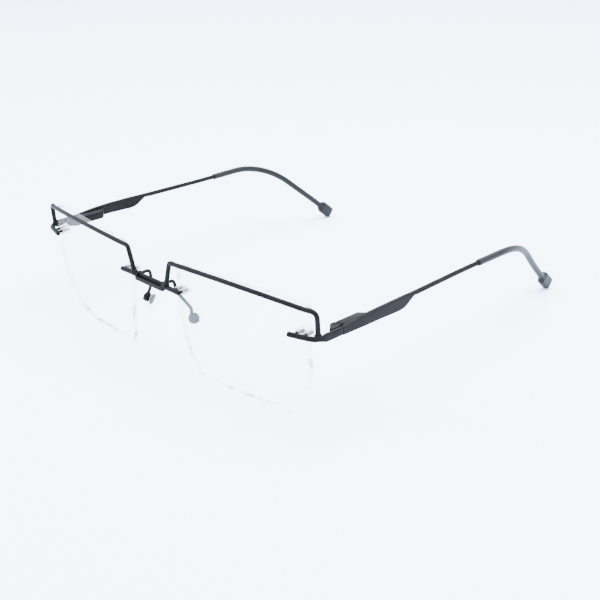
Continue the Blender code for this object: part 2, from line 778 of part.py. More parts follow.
def make_spring():
    """A coil round the slider's rod, between the collar and the head."""
    start = COLLAR_FRONT + COLLAR_THICKNESS + FIT_GAP + SPRING_WIRE / 2
    end = HEAD_FRONT - FIT_GAP - SPRING_WIRE / 2
    radius = SLIDER_ROD / 2 + FIT_GAP + SPRING_WIRE / 2
    steps = SPRING_TURNS * 10
    points = [
        (HINGE.x + radius * math.cos(2 * math.pi * k / 10),
         start + (end - start) * k / steps,
         HINGE.z + radius * math.sin(2 * math.pi * k / 10))
        for k in range(steps + 1)
    ]
    return wire(points, SPRING_WIRE / 2, resolution=0)


# ---------------------------------------------------------------- temples


def temple_x(y):
    """The temple's centre line seen from above: a little inwards along the rod, then the hook's sweep."""
    taper_start = HOUSING_END + 2 * MM
    taper = TEMPLE_TAPER_IN * smooth((y - taper_start) / (SLEEVE_START - taper_start))
    sweep = HOOK_SWEEP_IN * smooth((y - HOOK_START) / (HOOK_END.x - HOOK_START))
    return BLADE_OUTER - BLADE_THICKNESS / 2 - taper - sweep


# Where the hook's centre line ends, in the side view (y, z): its lower corner stands on the table
PADDLE_LIFT = PADDLE_WIDTH / 2 * math.cos(HOOK_ANGLE) - 0.35 * MM
HOOK_END = Vector((HOOK_CORNER + (TEMPLE_Z - PADDLE_LIFT) / math.tan(HOOK_ANGLE), PADDLE_LIFT))


def side_path(start):
    """The temple's centre line in the side view from y=start to the tip, as (y, z) pairs."""
    corners = [
        ((start, TEMPLE_Z), 0),
        ((HOOK_CORNER, TEMPLE_Z), HOOK_RADIUS),
        ((HOOK_END.x, HOOK_END.y), 0),
    ]
    return resampled(rounded(corners, steps=10), 5 * MM)


def centre_line(start):
    return [Vector((temple_x(y), y, z)) for y, z in side_path(start)]


def make_temple():
    """A flat blade that steps up into a thin round rod, whose core runs on inside the sleeve."""
    top = TEMPLE_Z + TEMPLE_ROD / 2
    blade_end = BLADE_START + BLADE_LENGTH
    front_low = HINGE.z - TAB_HEIGHT / 2
    outline_side = [
        (BLADE_START, front_low + BLADE_FRONT_HEIGHT - 0.2 * MM),
        (BLADE_START, front_low),
        (BLADE_START + BLADE_LENGTH * 0.25, front_low - 0.2 * MM),
        (BLADE_START + BLADE_LENGTH * 0.5, top - BLADE_HEIGHT),
        (BLADE_START + BLADE_LENGTH * 0.79, top - BLADE_HEIGHT - 0.3 * MM),
        (BLADE_START + BLADE_LENGTH * 0.85, top - BLADE_HEIGHT + 0.1 * MM),
        (blade_end, top - TEMPLE_ROD * 0.8),
        (blade_end + 2.5 * MM, top - TEMPLE_ROD * 0.6),
        (blade_end + 2.5 * MM, top - TEMPLE_ROD * 0.4),
        (blade_end, top - 0.1 * MM),
        (BLADE_START + BLADE_LENGTH * 0.75, top),
        (BLADE_START + BLADE_LENGTH * 0.5, top),
        (BLADE_START + BLADE_LENGTH * 0.28, top - 0.25 * MM),
    ]
    along_x = Matrix(((0, 0, 1, 0), (1, 0, 0, 0), (0, 1, 0, 0), (0, 0, 0, 1)))
    half = BLADE_THICKNESS / 2
    blade = bevelled(plate(outline_side, -half, half, along_x), 0.25 * MM)
    bent = bmesh.new()
    bent.from_mesh(blade.data)
    for k in range(1, 12):
        everything = bent.verts[:] + bent.edges[:] + bent.faces[:]
        y = BLADE_START + BLADE_LENGTH * k / 12
        bmesh.ops.bisect_plane(bent, geom=everything, dist=1e-7, plane_co=(0, y, 0), plane_no=(0, 1, 0))
    for vertex in bent.verts:
        vertex.co.x += temple_x(vertex.co.y)
    bent.to_mesh(blade.data)
    bent.free()
    rod_start = BLADE_START + BLADE_LENGTH * 0.8
    line = centre_line(rod_start)
    rod = [point for point in line if point.y < SLEEVE_START - MM]
    rod.append(Vector((temple_x(SLEEVE_START), SLEEVE_START, TEMPLE_Z)))
    core_end = HOOK_END.x - PADDLE_LENGTH
    core = [Vector((temple_x(SLEEVE_START - MM), SLEEVE_START - MM, TEMPLE_Z))]
    core += [point for point in line if SLEEVE_START < point.y < core_end]
    shares = [1.0 - 0.08 * k / (len(rod) - 1) for k in range(len(rod))]
    return join(blade, wire(rod, TEMPLE_ROD / 2, radii=shares), wire(core, TEMPLE_CORE / 2, resolution=1))


def make_sleeve():
    """The plastic tip: a round sleeve that follows the hook and flares into a flat paddle."""
    start = SLEEVE_START + FIT_GAP
    line = centre_line(start)
    total = sum((b - a).length for a, b in zip(line[:-1], line[1:]))
    flare = [total - PADDLE_LENGTH - 1.6 * MM, total - PADDLE_LENGTH, total - PADDLE_LENGTH + 1.2 * MM]
    flare += [total - 1.0 * MM, total - 0.3 * MM, total]
    line = [Vector(p) for p in resampled(line, 4 * MM)]
    spots = [0.0]
    for a, b in zip(line[:-1], line[1:]):
        spots.append(spots[-1] + (b - a).length)
    stations = sorted({round(s, 7) for s in spots if s < flare[0]} | set(flare))
    points = np.array([[np.interp(s, spots, [p[i] for p in line]) for i in range(3)] for s in stations])
    around = 12
    rings = []
    for i, place in enumerate(points):
        along = points[min(i + 1, len(points) - 1)] - points[max(i - 1, 0)]
        along /= np.linalg.norm(along)
        side = np.cross(along, (0, 0, 1.0)) if abs(along[2]) < 0.99 else np.array((1.0, 0, 0))
        side /= np.linalg.norm(side)
        over = np.cross(side, along)
        wide = smooth((stations[i] - flare[0]) / (flare[2] - flare[0]))
        ends = 0.72 if i == len(points) - 1 else (0.92 if i == len(points) - 2 else 1.0)
        half_w = (SLEEVE_DIAMETER + (PADDLE_THICKNESS - SLEEVE_DIAMETER) * wide) / 2 * ends
        half_h = (SLEEVE_DIAMETER + (PADDLE_WIDTH - SLEEVE_DIAMETER) * wide) / 2 * ends
        power = 1.0 - 0.35 * wide
        ring = []
        for k in range(around):
            angle = 2 * math.pi * (k + 0.5) / around
            c, s = math.cos(angle), math.sin(angle)
            w = half_w * math.copysign(abs(c) ** power, c)
            h = half_h * math.copysign(abs(s) ** power, s)
            ring.append(place + side * w + over * h)
        rings.append(ring)
    sleeve = loft(rings)
    core_end = HOOK_END.x - PADDLE_LENGTH
    line = centre_line(start)
    bore = [Vector((temple_x(start - MM), start - MM, TEMPLE_Z))]
    bore += [point for point in line if start < point.y < core_end]
    last = bore[-1] + (bore[-1] - bore[-2]).normalized() * 0.4 * MM
    return cut(sleeve, wire(bore + [last], TEMPLE_CORE / 2 + SLEEVE_BORE_GAP, resolution=1))


# ---------------------------------------------------------------- nose pads

PAD_CENTRE = Vector((PAD_OUTSET, PAD_BACKSET, MOUNT_HEIGHT - PAD_DROP))
PAD_FACING = Vector((-0.80, 0.42, -0.33)).normalized()
PAD_UP = (Vector((0, 0, 1)) - PAD_FACING * PAD_FACING.z).normalized()
PAD_AXIS = PAD_UP.cross(PAD_FACING)
# Pad frame: local X along the rocking axis, Y up the pad, Z towards the nose
PAD_FRAME = Matrix.Translation(PAD_CENTRE) @ Matrix((PAD_AXIS, PAD_UP, PAD_FACING)).transposed().to_4x4()
BOX_HALF = PAD_BOX_SIZE / 2
SLOT_HALF = PAD_LUG_WIDTH / 2 + FIT_GAP
PLATE_START = BOX_HALF * 0.75 + FACE_GAP + 0.1 * MM


def in_pad_frame(obj):
    obj.data.transform(PAD_FRAME)
    return obj


def make_pad_box():
    """A small open box, slotted for the pad's lug and bored for its screw."""
    half_w = PAD_BOX_WIDTH / 2
    body = bevelled(box((-half_w, -BOX_HALF, -BOX_HALF), (half_w, BOX_HALF, BOX_HALF * 0.75)), 0.4 * MM)
    slot = box((-SLOT_HALF, -2 * BOX_HALF, -BOX_HALF + 0.35 * MM), (SLOT_HALF, 2 * BOX_HALF, 2 * BOX_HALF))
    hole = cylinder((-2 * half_w, 0, 0), (2 * half_w, 0, 0), PAD_SCREW_DIAMETER / 2 + 0.05 * MM, 12)
    return in_pad_frame(cut(body, slot, hole))


def make_pad_screw():
    """The little screw that the pad rocks on."""
    half_w = PAD_BOX_WIDTH / 2
    radius = PAD_SCREW_DIAMETER / 2
    profile = [
        (0, half_w + 0.35 * MM),
        (radius + 0.15 * MM, half_w + 0.35 * MM),
        (radius + 0.25 * MM, half_w + 0.25 * MM),
        (radius + 0.25 * MM, half_w + 0.05 * MM),
        (radius, half_w + 0.05 * MM),
        (radius, -half_w),
        (0, -half_w),
    ]
    along_x = Matrix.Rotation(math.radians(90), 4, "Y")
    return in_pad_frame(turned(profile, along_x, sides=12))


def make_pad_insert():
    """The pad's stiff plate, with the lug that the screw passes through."""
    lug_half = PAD_LUG_WIDTH / 2
    lug_r = BOX_HALF - 0.35 * MM - FIT_GAP
    lug = cylinder((-lug_half, 0, 0), (lug_half, 0, 0), lug_r, 14)
    stem = box((-lug_half, -lug_r, 0), (lug_half, lug_r, PLATE_START + 0.1 * MM))
    disc = cylinder((0, 0, PLATE_START), (0, 0, PLATE_START + PAD_PLATE_THICKNESS), PAD_PLATE_DIAMETER / 2, 16)
    hole = cylinder((-2 * lug_half, 0, 0), (2 * lug_half, 0, 0), PAD_SCREW_DIAMETER / 2 + 0.05 * MM, 12)
    return in_pad_frame(cut(join(disc, stem, lug), hole))


def make_nose_pad():
    """A soft teardrop pad with a pocket for its plate."""
    around, layers = 20, [(0.0, 0.86), (0.3, 1.0), (0.65, 0.96), (1.0, 0.7)]
    back = PLATE_START + 0.15 * MM
    rings = []
    for share, scale in layers:
        ring = []
        for k in range(around):
            angle = 2 * math.pi * k / around
            up = math.sin(angle)
            narrow = 1 - 0.18 * up
            ring.append((
                PAD_WIDTH / 2 * math.cos(angle) * narrow * scale,
                PAD_LENGTH / 2 * up * (scale + 1) / 2 if scale > 0.8 else PAD_LENGTH / 2 * up * 0.82,
                back + PAD_THICKNESS * share,
            ))
        rings.append(ring)
    pad = loft(rings)
    depth = PLATE_START + PAD_PLATE_THICKNESS + FIT_GAP
    pocket = cylinder((0, 0, back - MM), (0, 0, depth), PAD_PLATE_DIAMETER / 2 + FIT_GAP, 16)
    return in_pad_frame(cut(pad, pocket))


def make_pad_arm():
    """The bent wire from the back of the bridge down to the pad's box."""
    root = Vector((BRIDGE_LENGTH / 2 - 1.0 * MM, BRIDGE_Y + ARM_RADIUS + BRAZE_GAP, MOUNT_HEIGHT + 0.4 * MM))
    landing = PAD_CENTRE + PAD_AXIS * 1.0 * MM + PAD_UP * (BOX_HALF + BRAZE_GAP)
    corners = [
        (root, 0),
        (root + Vector((0, 3.6, 0.2)) * MM, 1.4 * MM),
        (root + Vector((0.3, 4.5, -4.2)) * MM, 3.0 * MM),
        (landing + (PAD_UP * 2.0 - PAD_AXIS * 0.3) * MM, 1.5 * MM),
        (landing, 0),
    ]
    return wire(rounded(corners, steps=4), PAD_ARM_DIAMETER / 2)


# ---------------------------------------------------------------- assembly


def build():
    frame = pivot("eyeglasses_frame", (0, 0, 0), None)
    finished(make_bridge(), "bridge", METAL, frame)

    hinge = pivot("temple_pivot_left", HINGE, frame)
    rocker = pivot("pad_pivot_left", PAD_CENTRE, frame)
    left = [
        (make_lens(), "lens", LENS, frame),
        (wire(wire_path(), WIRE_RADIUS), "brow_wire", METAL, frame),
        (make_end_piece(), "end_piece", METAL, frame),
        (make_hinge_fork(), "hinge_fork", METAL, frame),
        (make_hinge_screw(), "hinge_screw", STEEL, frame),
        (make_pad_arm(), "pad_arm", METAL, frame),
        (make_pad_box(), "pad_box", METAL, frame),
        (make_pad_screw(), "pad_screw", STEEL, frame),
        (make_pad_insert(), "pad_insert", METAL, rocker),
        (make_nose_pad(), "nose_pad", SILICONE, rocker),
        (make_slider(), "hinge_slider", STEEL, hinge),
        (make_housing(), "spring_housing", METAL, hinge),
        (make_collar(), "spring_collar", STEEL, hinge),
        (make_spring(), "hinge_spring", STEEL, hinge),
        (make_temple(), "temple", METAL, hinge),
        (make_sleeve(), "temple_tip", SLEEVE, hinge),
    ]
    for name, (x, z) in ALL_POSTS.items():
        left.append((make_bushing(x, z), "bushing_" + name, CLEAR, frame))

    across = Matrix.Diagonal((-1, 1, 1, 1))
    right_pivots = {
        frame: frame,
        hinge: pivot("temple_pivot_right", across @ HINGE, frame),
        rocker: pivot("pad_pivot_right", across @ PAD_CENTRE, frame),
    }
    for obj, name, finish, parent in left:
        piece = finished(obj, name + "_left", finish, parent)
        mirrored(piece, name + "_right", right_pivots[parent])

    bpy.context.view_layer.update()
    corners = np.array([
        piece.matrix_world @ vertex.co
        for piece in PARTS.objects if piece.type == "MESH"
        for vertex in piece.data.vertices
    ])
    low, high = corners.min(axis=0), corners.max(axis=0)
    frame.location = (0, -(low[1] + high[1]) / 2, -low[2])
    bpy.context.view_layer.update()
    for empty in PARTS.objects:
        if empty.type == "EMPTY":
            print(empty.name, [round(c / MM, 3) for c in empty.matrix_world.translation])
    print("pad axis", [round(c, 5) for c in PAD_AXIS], "size", [round(c / MM, 2) for c in high - low])


build()
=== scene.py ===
"""Looks of a pair of rimless eyeglasses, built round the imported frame.

Lengths are in metres. +X is the wearer's left, +Y runs back along the temples and +Z is up from the
table. Each shape is worked out for the left side and mirrored for the right. The fine pieces stand in for
the plain solids of the frame, and ride on the same bodies.
"""

import json
import logging
import math
from dataclasses import dataclass, field
from enum import Enum

import bmesh
import bpy
import numpy as np
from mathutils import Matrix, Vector


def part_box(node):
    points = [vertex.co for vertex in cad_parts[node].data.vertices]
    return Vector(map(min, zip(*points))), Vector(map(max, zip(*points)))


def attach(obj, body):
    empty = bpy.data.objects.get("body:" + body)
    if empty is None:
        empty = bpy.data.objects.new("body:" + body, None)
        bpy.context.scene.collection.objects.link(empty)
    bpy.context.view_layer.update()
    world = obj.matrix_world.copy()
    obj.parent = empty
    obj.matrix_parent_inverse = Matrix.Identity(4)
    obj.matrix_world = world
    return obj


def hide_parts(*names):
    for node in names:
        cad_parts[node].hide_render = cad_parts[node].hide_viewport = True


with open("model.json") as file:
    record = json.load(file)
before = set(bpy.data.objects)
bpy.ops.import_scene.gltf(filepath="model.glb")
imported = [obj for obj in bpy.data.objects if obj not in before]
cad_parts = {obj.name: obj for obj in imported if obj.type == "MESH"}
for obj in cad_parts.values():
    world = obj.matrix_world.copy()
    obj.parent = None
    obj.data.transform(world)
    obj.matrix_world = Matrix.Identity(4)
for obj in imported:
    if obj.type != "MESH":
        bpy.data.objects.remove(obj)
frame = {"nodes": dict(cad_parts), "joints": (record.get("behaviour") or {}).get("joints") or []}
log = logging.getLogger("eyeglasses")

MM = 0.001
Array = np.ndarray


class Side(Enum):
    """The wearer's left or right, by the sign of X."""

    LEFT = 1
    RIGHT = -1

    @property
    def tag(self) -> str:
        """The ending of this side's names."""
        return self.name.lower()


# ---------------------------------------------------------------- curves and surfaces


def unit(vectors: Array) -> Array:
    """Vectors of length one, along the last axis."""
    return vectors / np.linalg.norm(vectors, axis=-1, keepdims=True)


def ease(share: Array | float) -> Array | float:
    """0 to 1 with level ends: 3 s squared less 2 s cubed, held at both ends."""
    share = np.clip(share, 0.0, 1.0)
    return share * share * (3 - 2 * share)


def rounded(corners: list[tuple[object, float]], steps: int = 14) -> Array:
    """A path whose corners are arcs.

    Args:
        corners: Each corner's place and the radius of its arc. A radius of 0 keeps the point.
        steps: Stretches in each arc.

    Returns:
        The points. An arc touches both of its sides at radius / tan(half the corner's angle) from the corner.
    """
    out: list[Array] = []
    places = [np.asarray(place, float) for place, _ in corners]
    for i, (_, radius) in enumerate(corners):
        corner = places[i]
        if radius == 0:
            out.append(corner[None])
            continue
        before = unit(places[i - 1] - corner)
        after = unit(places[(i + 1) % len(places)] - corner)
        half = math.acos(float(np.clip(before @ after, -1, 1))) / 2
        centre = corner + unit(before + after) * radius / math.sin(half)
        first = corner + before * radius / math.tan(half) - centre
        last = corner + after * radius / math.tan(half) - centre
        sweep_angle = math.pi - 2 * half
        share = np.linspace(0, 1, steps + 1)[:, None]
        arc = np.sin((1 - share) * sweep_angle) * first + np.sin(share * sweep_angle) * last
        out.append(centre + arc / math.sin(sweep_angle))
    return np.concatenate(out)


def lengths_along(path: Array) -> Array:
    """How far along the path each of its points lies."""
    return np.concatenate([[0.0], np.cumsum(np.linalg.norm(np.diff(path, axis=0), axis=1))])


def at_lengths(path: Array, wanted: Array) -> Array:
    """The path's points at the wanted lengths along it, by straight interpolation."""
    known = lengths_along(path)
    return np.stack([np.interp(wanted, known, path[:, k]) for k in range(path.shape[1])], axis=1)


def softened_path(path: Array, reach: int) -> Array:
    """The path with each point moved to the mean of its neighbours up to reach away. The ends stay.

    Args:
        path: The path.
        reach: How many neighbours count on each side.

    Returns:
        The smoothed path.
    """
    padded = np.concatenate([np.repeat(path[:1], reach, 0), path, np.repeat(path[-1:], reach, 0)])
    window = 2 * reach + 1
    sums = np.cumsum(np.concatenate([np.zeros((1, path.shape[1])), padded]), axis=0)
    out = (sums[window:] - sums[:-window]) / window
    out[0], out[-1] = path[0], path[-1]
    return out


def superellipse(half_w: Array, half_h: Array, power: Array, around: int = 40) -> Array:
    """Sections with width a cos(t)^p and height b sin(t)^p, signs kept: p = 1 is round, p = 0.2 a soft box.

    Args:
        half_w: Half the width of each row.
        half_h: Half the height of each row.
        power: The exponent p of each row.
        around: Points in each section.

    Returns:
        Offsets in the section's plane, rows by around by 2.
    """
    angle = (np.arange(around) + 0.5) / around * 2 * np.pi
    c, s = np.cos(angle)[None], np.sin(angle)[None]
    p = np.broadcast_to(np.asarray(power, float), np.shape(half_w))[:, None]
    w = np.asarray(half_w)[:, None] * np.sign(c) * np.abs(c) ** p
    h = np.asarray(half_h)[:, None] * np.sign(s) * np.abs(s) ** p
    return np.stack([w, h], axis=2)


def sweep(path: Array, sections: Array, up: tuple[float, float, float]) -> Array:
    """A profile carried along a path: each section lies across the path, its width along tangent x up.

    Args:
        path: The centre line.
        sections: Offsets for every row, or one section for all, in width and height.
        up: A direction that the path never runs along.

    Returns:
        The surface's grid, rows by around by 3.
    """
    tangent = unit(np.gradient(path, axis=0))
    side = unit(np.cross(tangent, np.asarray(up, float)))
    over = np.cross(side, tangent)
    flat = np.broadcast_to(sections, (len(path), *sections.shape[-2:]))
    return path[:, None] + side[:, None] * flat[..., :1] + over[:, None] * flat[..., 1:]


def dome(lengths: Array, radius: float, start: bool = False, end: bool = True) -> Array:
    """The share of its radius that a round bar keeps near a domed end: sqrt(1 - (1 - d / r) squared).

    Args:
        lengths: How far along the bar each row lies.
        radius: The length of the dome.
        start: Whether the first end is domed.
        end: Whether the last end is domed.

    Returns:
        The share of each row.
    """
    share = np.ones_like(lengths)
    if start:
        near = np.clip(lengths / radius, 0, 1)
        share *= np.sqrt(np.clip(1 - (1 - near) ** 2, 0.0004, 1))
    if end:
        near = np.clip((lengths[-1] - lengths) / radius, 0, 1)
        share *= np.sqrt(np.clip(1 - (1 - near) ** 2, 0.0004, 1))
    return share


def packed_ends(length: float, step: float, fine: float, start: bool = True, end: bool = True) -> Array:
    """Lengths from 0 to length, a step apart, with extra ones packed in at chosen ends.

    Args:
        length: The whole length.
        step: The widest gap.
        fine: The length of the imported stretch.
        start: Whether the first end is packed.
        end: Whether the last end is packed.

    Returns:
        The lengths, in order.
    """
    out = [np.linspace(0, length, max(2, math.ceil(length / step) + 1))]
    bunch = fine * (1 - np.cos(np.linspace(0, np.pi / 2, 10)))
    if start:
        out.append(bunch)
    if end:
        out.append(length - bunch)
    return np.unique(np.round(np.concatenate(out), 8))


def revolved(profile: list[tuple[float, float]], foot: Array, axis: Array, around: int = 40) -> Array:
    """A turned shape: each radius and height of the profile makes a circle about the axis, from the foot up.

    Args:
        profile: Radius and height of each row.
        foot: Where height 0 lies.
        axis: The direction of height.
        around: Points in each circle.

    Returns:
        The surface's grid, rows by around by 3.
    """
    axis = unit(np.asarray(axis, float))
    first = unit(np.cross(axis, (0.0, 0.0, 1.0) if abs(axis[2]) < 0.9 else (1.0, 0.0, 0.0)))
    second = np.cross(axis, first)
    angle = np.arange(around) / around * 2 * np.pi
    ring = np.cos(angle)[:, None] * first + np.sin(angle)[:, None] * second
    pairs = np.asarray(profile, float)
    return np.asarray(foot) + pairs[:, None, 1:] * axis + pairs[:, None, :1] * ring[None]


def mesh_of(name: str, grid: Array, side: Side = Side.LEFT) -> bpy.types.Mesh:
    """A closed mesh from a grid of rows round a path.

    Neighbouring rows are joined by quads, and each end row closes on a point at its middle. If the volume,
    the sum of a . (b x c) / 6 over the triangles, comes out negative, every face is turned round.

    Args:
        name: The mesh's name.
        grid: The points, rows by around by 3, for the left side.
        side: The side to make; the right is the left mirrored.

    Returns:
        The mesh.
    """
    rows, around = grid.shape[:2]
    points = np.concatenate([grid.reshape(-1, 3), grid[:1].mean(axis=1), grid[-1:].mean(axis=1)])
    points = points * np.array([side.value, 1.0, 1.0])
    row, k = np.meshgrid(np.arange(rows - 1), np.arange(around), indexing="ij")
    nxt = (k + 1) % around
    here, above = row * around, (row + 1) * around
    quads = np.stack([here + k, here + nxt, above + nxt, above + k], -1).reshape(-1, 4)
    ring = np.arange(around)
    after = (ring + 1) % around
    low, high = rows * around, rows * around + 1
    fans = np.concatenate([
        np.stack([after, ring, np.full(around, low)], 1),
        np.stack([(rows - 1) * around + ring, (rows - 1) * around + after, np.full(around, high)], 1),
    ])
    triangles = np.concatenate([quads[:, [0, 1, 2]], quads[:, [0, 2, 3]], fans])
    a, b, c = points[triangles[:, 0]], points[triangles[:, 1]], points[triangles[:, 2]]
    if np.einsum("ij,ij->i", a, np.cross(b, c)).sum() < 0:
        quads, fans = quads[:, ::-1], fans[:, ::-1]
    mesh = bpy.data.meshes.new(name)
    mesh.from_pydata(points.tolist(), [], quads.tolist() + fans.tolist())
    return mesh


# ---------------------------------------------------------------- shader maths


class Signal:
    """A shader value. Arithmetic on it adds the Math nodes that it needs."""

    def __init__(self, graph: "Graph", socket: bpy.types.NodeSocket) -> None:
        """Wraps an output socket of the graph."""
        self.graph = graph
        self.socket = socket

    def _math(self, operation: str, *values: object) -> "Signal":
        """One Math node over the values."""
        made = self.graph.add("ShaderNodeMath", {"operation": operation}, dict(enumerate(values)))
        return self.graph.signal(made, 0)

    def __add__(self, other: object) -> "Signal":
        """self + other."""
        return self._math("ADD", self, other)

    def __radd__(self, other: object) -> "Signal":
        """other + self."""
        return self._math("ADD", other, self)

    def __sub__(self, other: object) -> "Signal":
        """self - other."""
        return self._math("SUBTRACT", self, other)

    def __rsub__(self, other: object) -> "Signal":
        """other - self."""
        return self._math("SUBTRACT", other, self)

    def __mul__(self, other: object) -> "Signal":
        """self * other."""
        return self._math("MULTIPLY", self, other)

    def __rmul__(self, other: object) -> "Signal":
        """other * self."""
        return self._math("MULTIPLY", other, self)

    def __abs__(self) -> "Signal":
        """self without its sign."""
        return self._math("ABSOLUTE", self)

    def between(self, low: float, high: float) -> "Signal":
        """0 at low, 1 at high, smooth in between.

        Args:
            low: Where it starts to rise.
            high: Where it reaches 1.

        Returns:
            The eased value.
        """
        settings = {"interpolation_type": "SMOOTHSTEP"}
        inputs = {"Value": self, "From Min": low, "From Max": high}
        made = self.graph.add("ShaderNodeMapRange", settings, inputs)
        return self.graph.signal(made, "Result")


class Graph:
    """A material's node tree, with one method that adds any node."""

    def __init__(self, name: str) -> None:
        """Starts a material with an empty tree but for its output.

        Args:
            name: The material's name.
        """
        self.material = bpy.data.materials.new(name)
        self.material.use_nodes = True
        self.tree = self.material.node_tree
        self.tree.nodes.clear()
        self.output = self.tree.nodes.new("ShaderNodeOutputMaterial")

    def signal(self, node: bpy.types.Node, output: int | str) -> Signal:
        """One of the node's outputs as a value to work with."""
        return Signal(self, node.outputs[output])

    def add(self, kind: str, settings: dict[str, object], inputs: dict[int | str, object]) -> bpy.types.Node:
        """Adds a node.

        Args:
            kind: The node's type.
            settings: Its properties, set first.
            inputs: Values or links for its sockets, by name or number.

        Returns:
            The node.
        """
        node = self.tree.nodes.new(kind)
        for key, value in settings.items():
            setattr(node, key, value)
        for key, value in inputs.items():
            if isinstance(value, Signal):
                self.tree.links.new(value.socket, node.inputs[key])
            else:
                node.inputs[key].default_value = value
        return node

    def place(self) -> Signal:
        """The point's place in the object's own coordinates, in metres."""
        return self.signal(self.add("ShaderNodeTexCoord", {}, {}), "Object")

    def noise(
        self, scale: float, detail: float = 3.0, stretch: tuple[float, float, float] = (1, 1, 1)
    ) -> Signal:
        """Noise between 0 and 1 over the object's coordinates.

        Args:
            scale: Cells in a metre.
            detail: Octaves.
            stretch: How much denser it is along each axis.

        Returns:
            The noise.
        """
        mapping = self.add("ShaderNodeMapping", {}, {"Vector": self.place(), "Scale": stretch})
        inputs = {"Vector": self.signal(mapping, 0), "Scale": scale, "Detail": detail}
        return self.signal(self.add("ShaderNodeTexNoise", {}, inputs), 0)

    def bump(self, height: Signal, depth: float, strength: float = 1.0) -> Signal:
        """A surface normal from a height between 0 and 1, depth metres high."""
        inputs = {"Height": height, "Distance": depth, "Strength": strength}
        return self.signal(self.add("ShaderNodeBump", {}, inputs), 0)

    def mix(self, factor: Signal, first: tuple[float, ...], second: tuple[float, ...]) -> Signal:
        """A colour between two, by the factor."""
        made = self.add("ShaderNodeMix", {"data_type": "RGBA"}, {0: factor, 6: (*first, 1), 7: (*second, 1)})
        return self.signal(made, 2)

    def surface(self, inputs: dict[int | str, object]) -> bpy.types.Material:
        """Finishes the material with a Principled surface.

        Args:
            inputs: Values or links for the shader's sockets.

        Returns:
            The material.
        """
        shader = self.add("ShaderNodeBsdfPrincipled", {}, inputs)
        self.tree.links.new(shader.outputs[0], self.output.inputs[0])
        return self.material


# ---------------------------------------------------------------- finishes


@dataclass(frozen=True)
class CoatedMetal:
    """Metal with a thin matte black coat: fine orange-peel, and slightly uneven sheen from handling."""

    name: str = "black_coated_metal"
    slot: str = "metal"
    dark: tuple[float, float, float] = (0.0027, 0.0025, 0.0022)
    light: tuple[float, float, float] = (0.0049, 0.0045, 0.0040)
    roughness: float = 0.40
    grain: float = 2600.0
    grain_depth: float = 0.006 * MM

    def build(self) -> bpy.types.Material:
        """Wires up the finish.

        Returns:
            The material.
        """
        graph = Graph(self.name)
        broad = graph.noise(160.0, 2.0)
        fine = graph.noise(self.grain, 2.0)
        return graph.surface({
            "Base Color": graph.mix(broad.between(0.3, 0.7), self.dark, self.light),
            "Roughness": self.roughness + broad * 0.10 + fine * 0.06,
            "Metallic": 0.0,
            "Specular IOR Level": 0.04,
            "Normal": graph.bump(fine, self.grain_depth),
        })


@dataclass(frozen=True)
class BrightSteel:
    """Turned bright steel: fine rings of the tool, and a little colour variation."""

    name: str = "turned_steel"
    slot: str = "steel"
    dark: tuple[float, float, float] = (0.40, 0.41, 0.43)
    light: tuple[float, float, float] = (0.62, 0.63, 0.65)

    def build(self) -> bpy.types.Material:
        """Wires up the finish.

        Returns:
            The material.
        """
        graph = Graph(self.name)
        rings = graph.noise(900.0, 2.0, (1, 1, 9))
        return graph.surface({
            "Base Color": graph.mix(rings, self.dark, self.light),
            "Roughness": 0.22 + rings * 0.16,
            "Metallic": 1.0,
            "Normal": graph.bump(rings, 0.004 * MM),
        })


@dataclass(frozen=True)
class CoatedLens:
    """A clear lens with an anti-reflection coat. Its polished edge is painted as a faint grey and pink line:
    painted shade and reflection in place of how the clear edge refracts light and the coat reflects it.
    """

    name: str = "coated_clear_lens"
    slot: str = "lens"
    body: tuple[float, float, float] = (0.86, 0.88, 0.92)
    # painted shade and reflection: the clear edge gets a dark grey and a pink colour in place of its
    # refraction and the coat's reflection
    edge_painted_shade: tuple[float, float, float] = (0.016, 0.016, 0.018)
    edge_pink: tuple[float, float, float] = (0.22, 0.10, 0.14)
    face_alpha: float = 0.03
    edge_alpha: float = 0.42

    def build(self) -> bpy.types.Material:
        """The edge is where the surface faces away from front and back. It is painted dark grey and pink as
        shade and reflection, and painted dark reflection spots break it up.

        Returns:
            The material.
        """
        graph = Graph(self.name)
        geometry = graph.add("ShaderNodeNewGeometry", {}, {})
        parts = graph.add("ShaderNodeSeparateXYZ", {}, {0: graph.signal(geometry, "Normal")})
        edge = 1 - abs(graph.signal(parts, 1)).between(0.35, 0.9)
        drift = graph.noise(55.0, 2.0)
        fine = graph.noise(700.0, 2.0)
        # painted dark reflections: noise spots where the edge turns dark grey and more opaque
        painted_dark_spots = graph.noise(230.0, 2.0).between(0.53, 0.64)
        tint = graph.mix(painted_dark_spots, self.edge_pink, self.edge_painted_shade)
        colour = graph.add("ShaderNodeMix", {"data_type": "RGBA"}, {0: edge, 6: (*self.body, 1), 7: tint})
        facing = graph.signal(graph.add("ShaderNodeLayerWeight", {}, {"Blend": 0.25}), "Facing")
        return graph.surface({
            "Base Color": graph.signal(colour, 2),
            "Roughness": 0.03 + edge * (0.10 + fine * 0.12),
            "Alpha": self.face_alpha + facing * 0.04 + edge * (drift * 0.24 + painted_dark_spots * self.edge_alpha),
            "IOR": 1.56,
            "Specular Tint": (0.86, 0.78, 0.95, 1.0),
        })


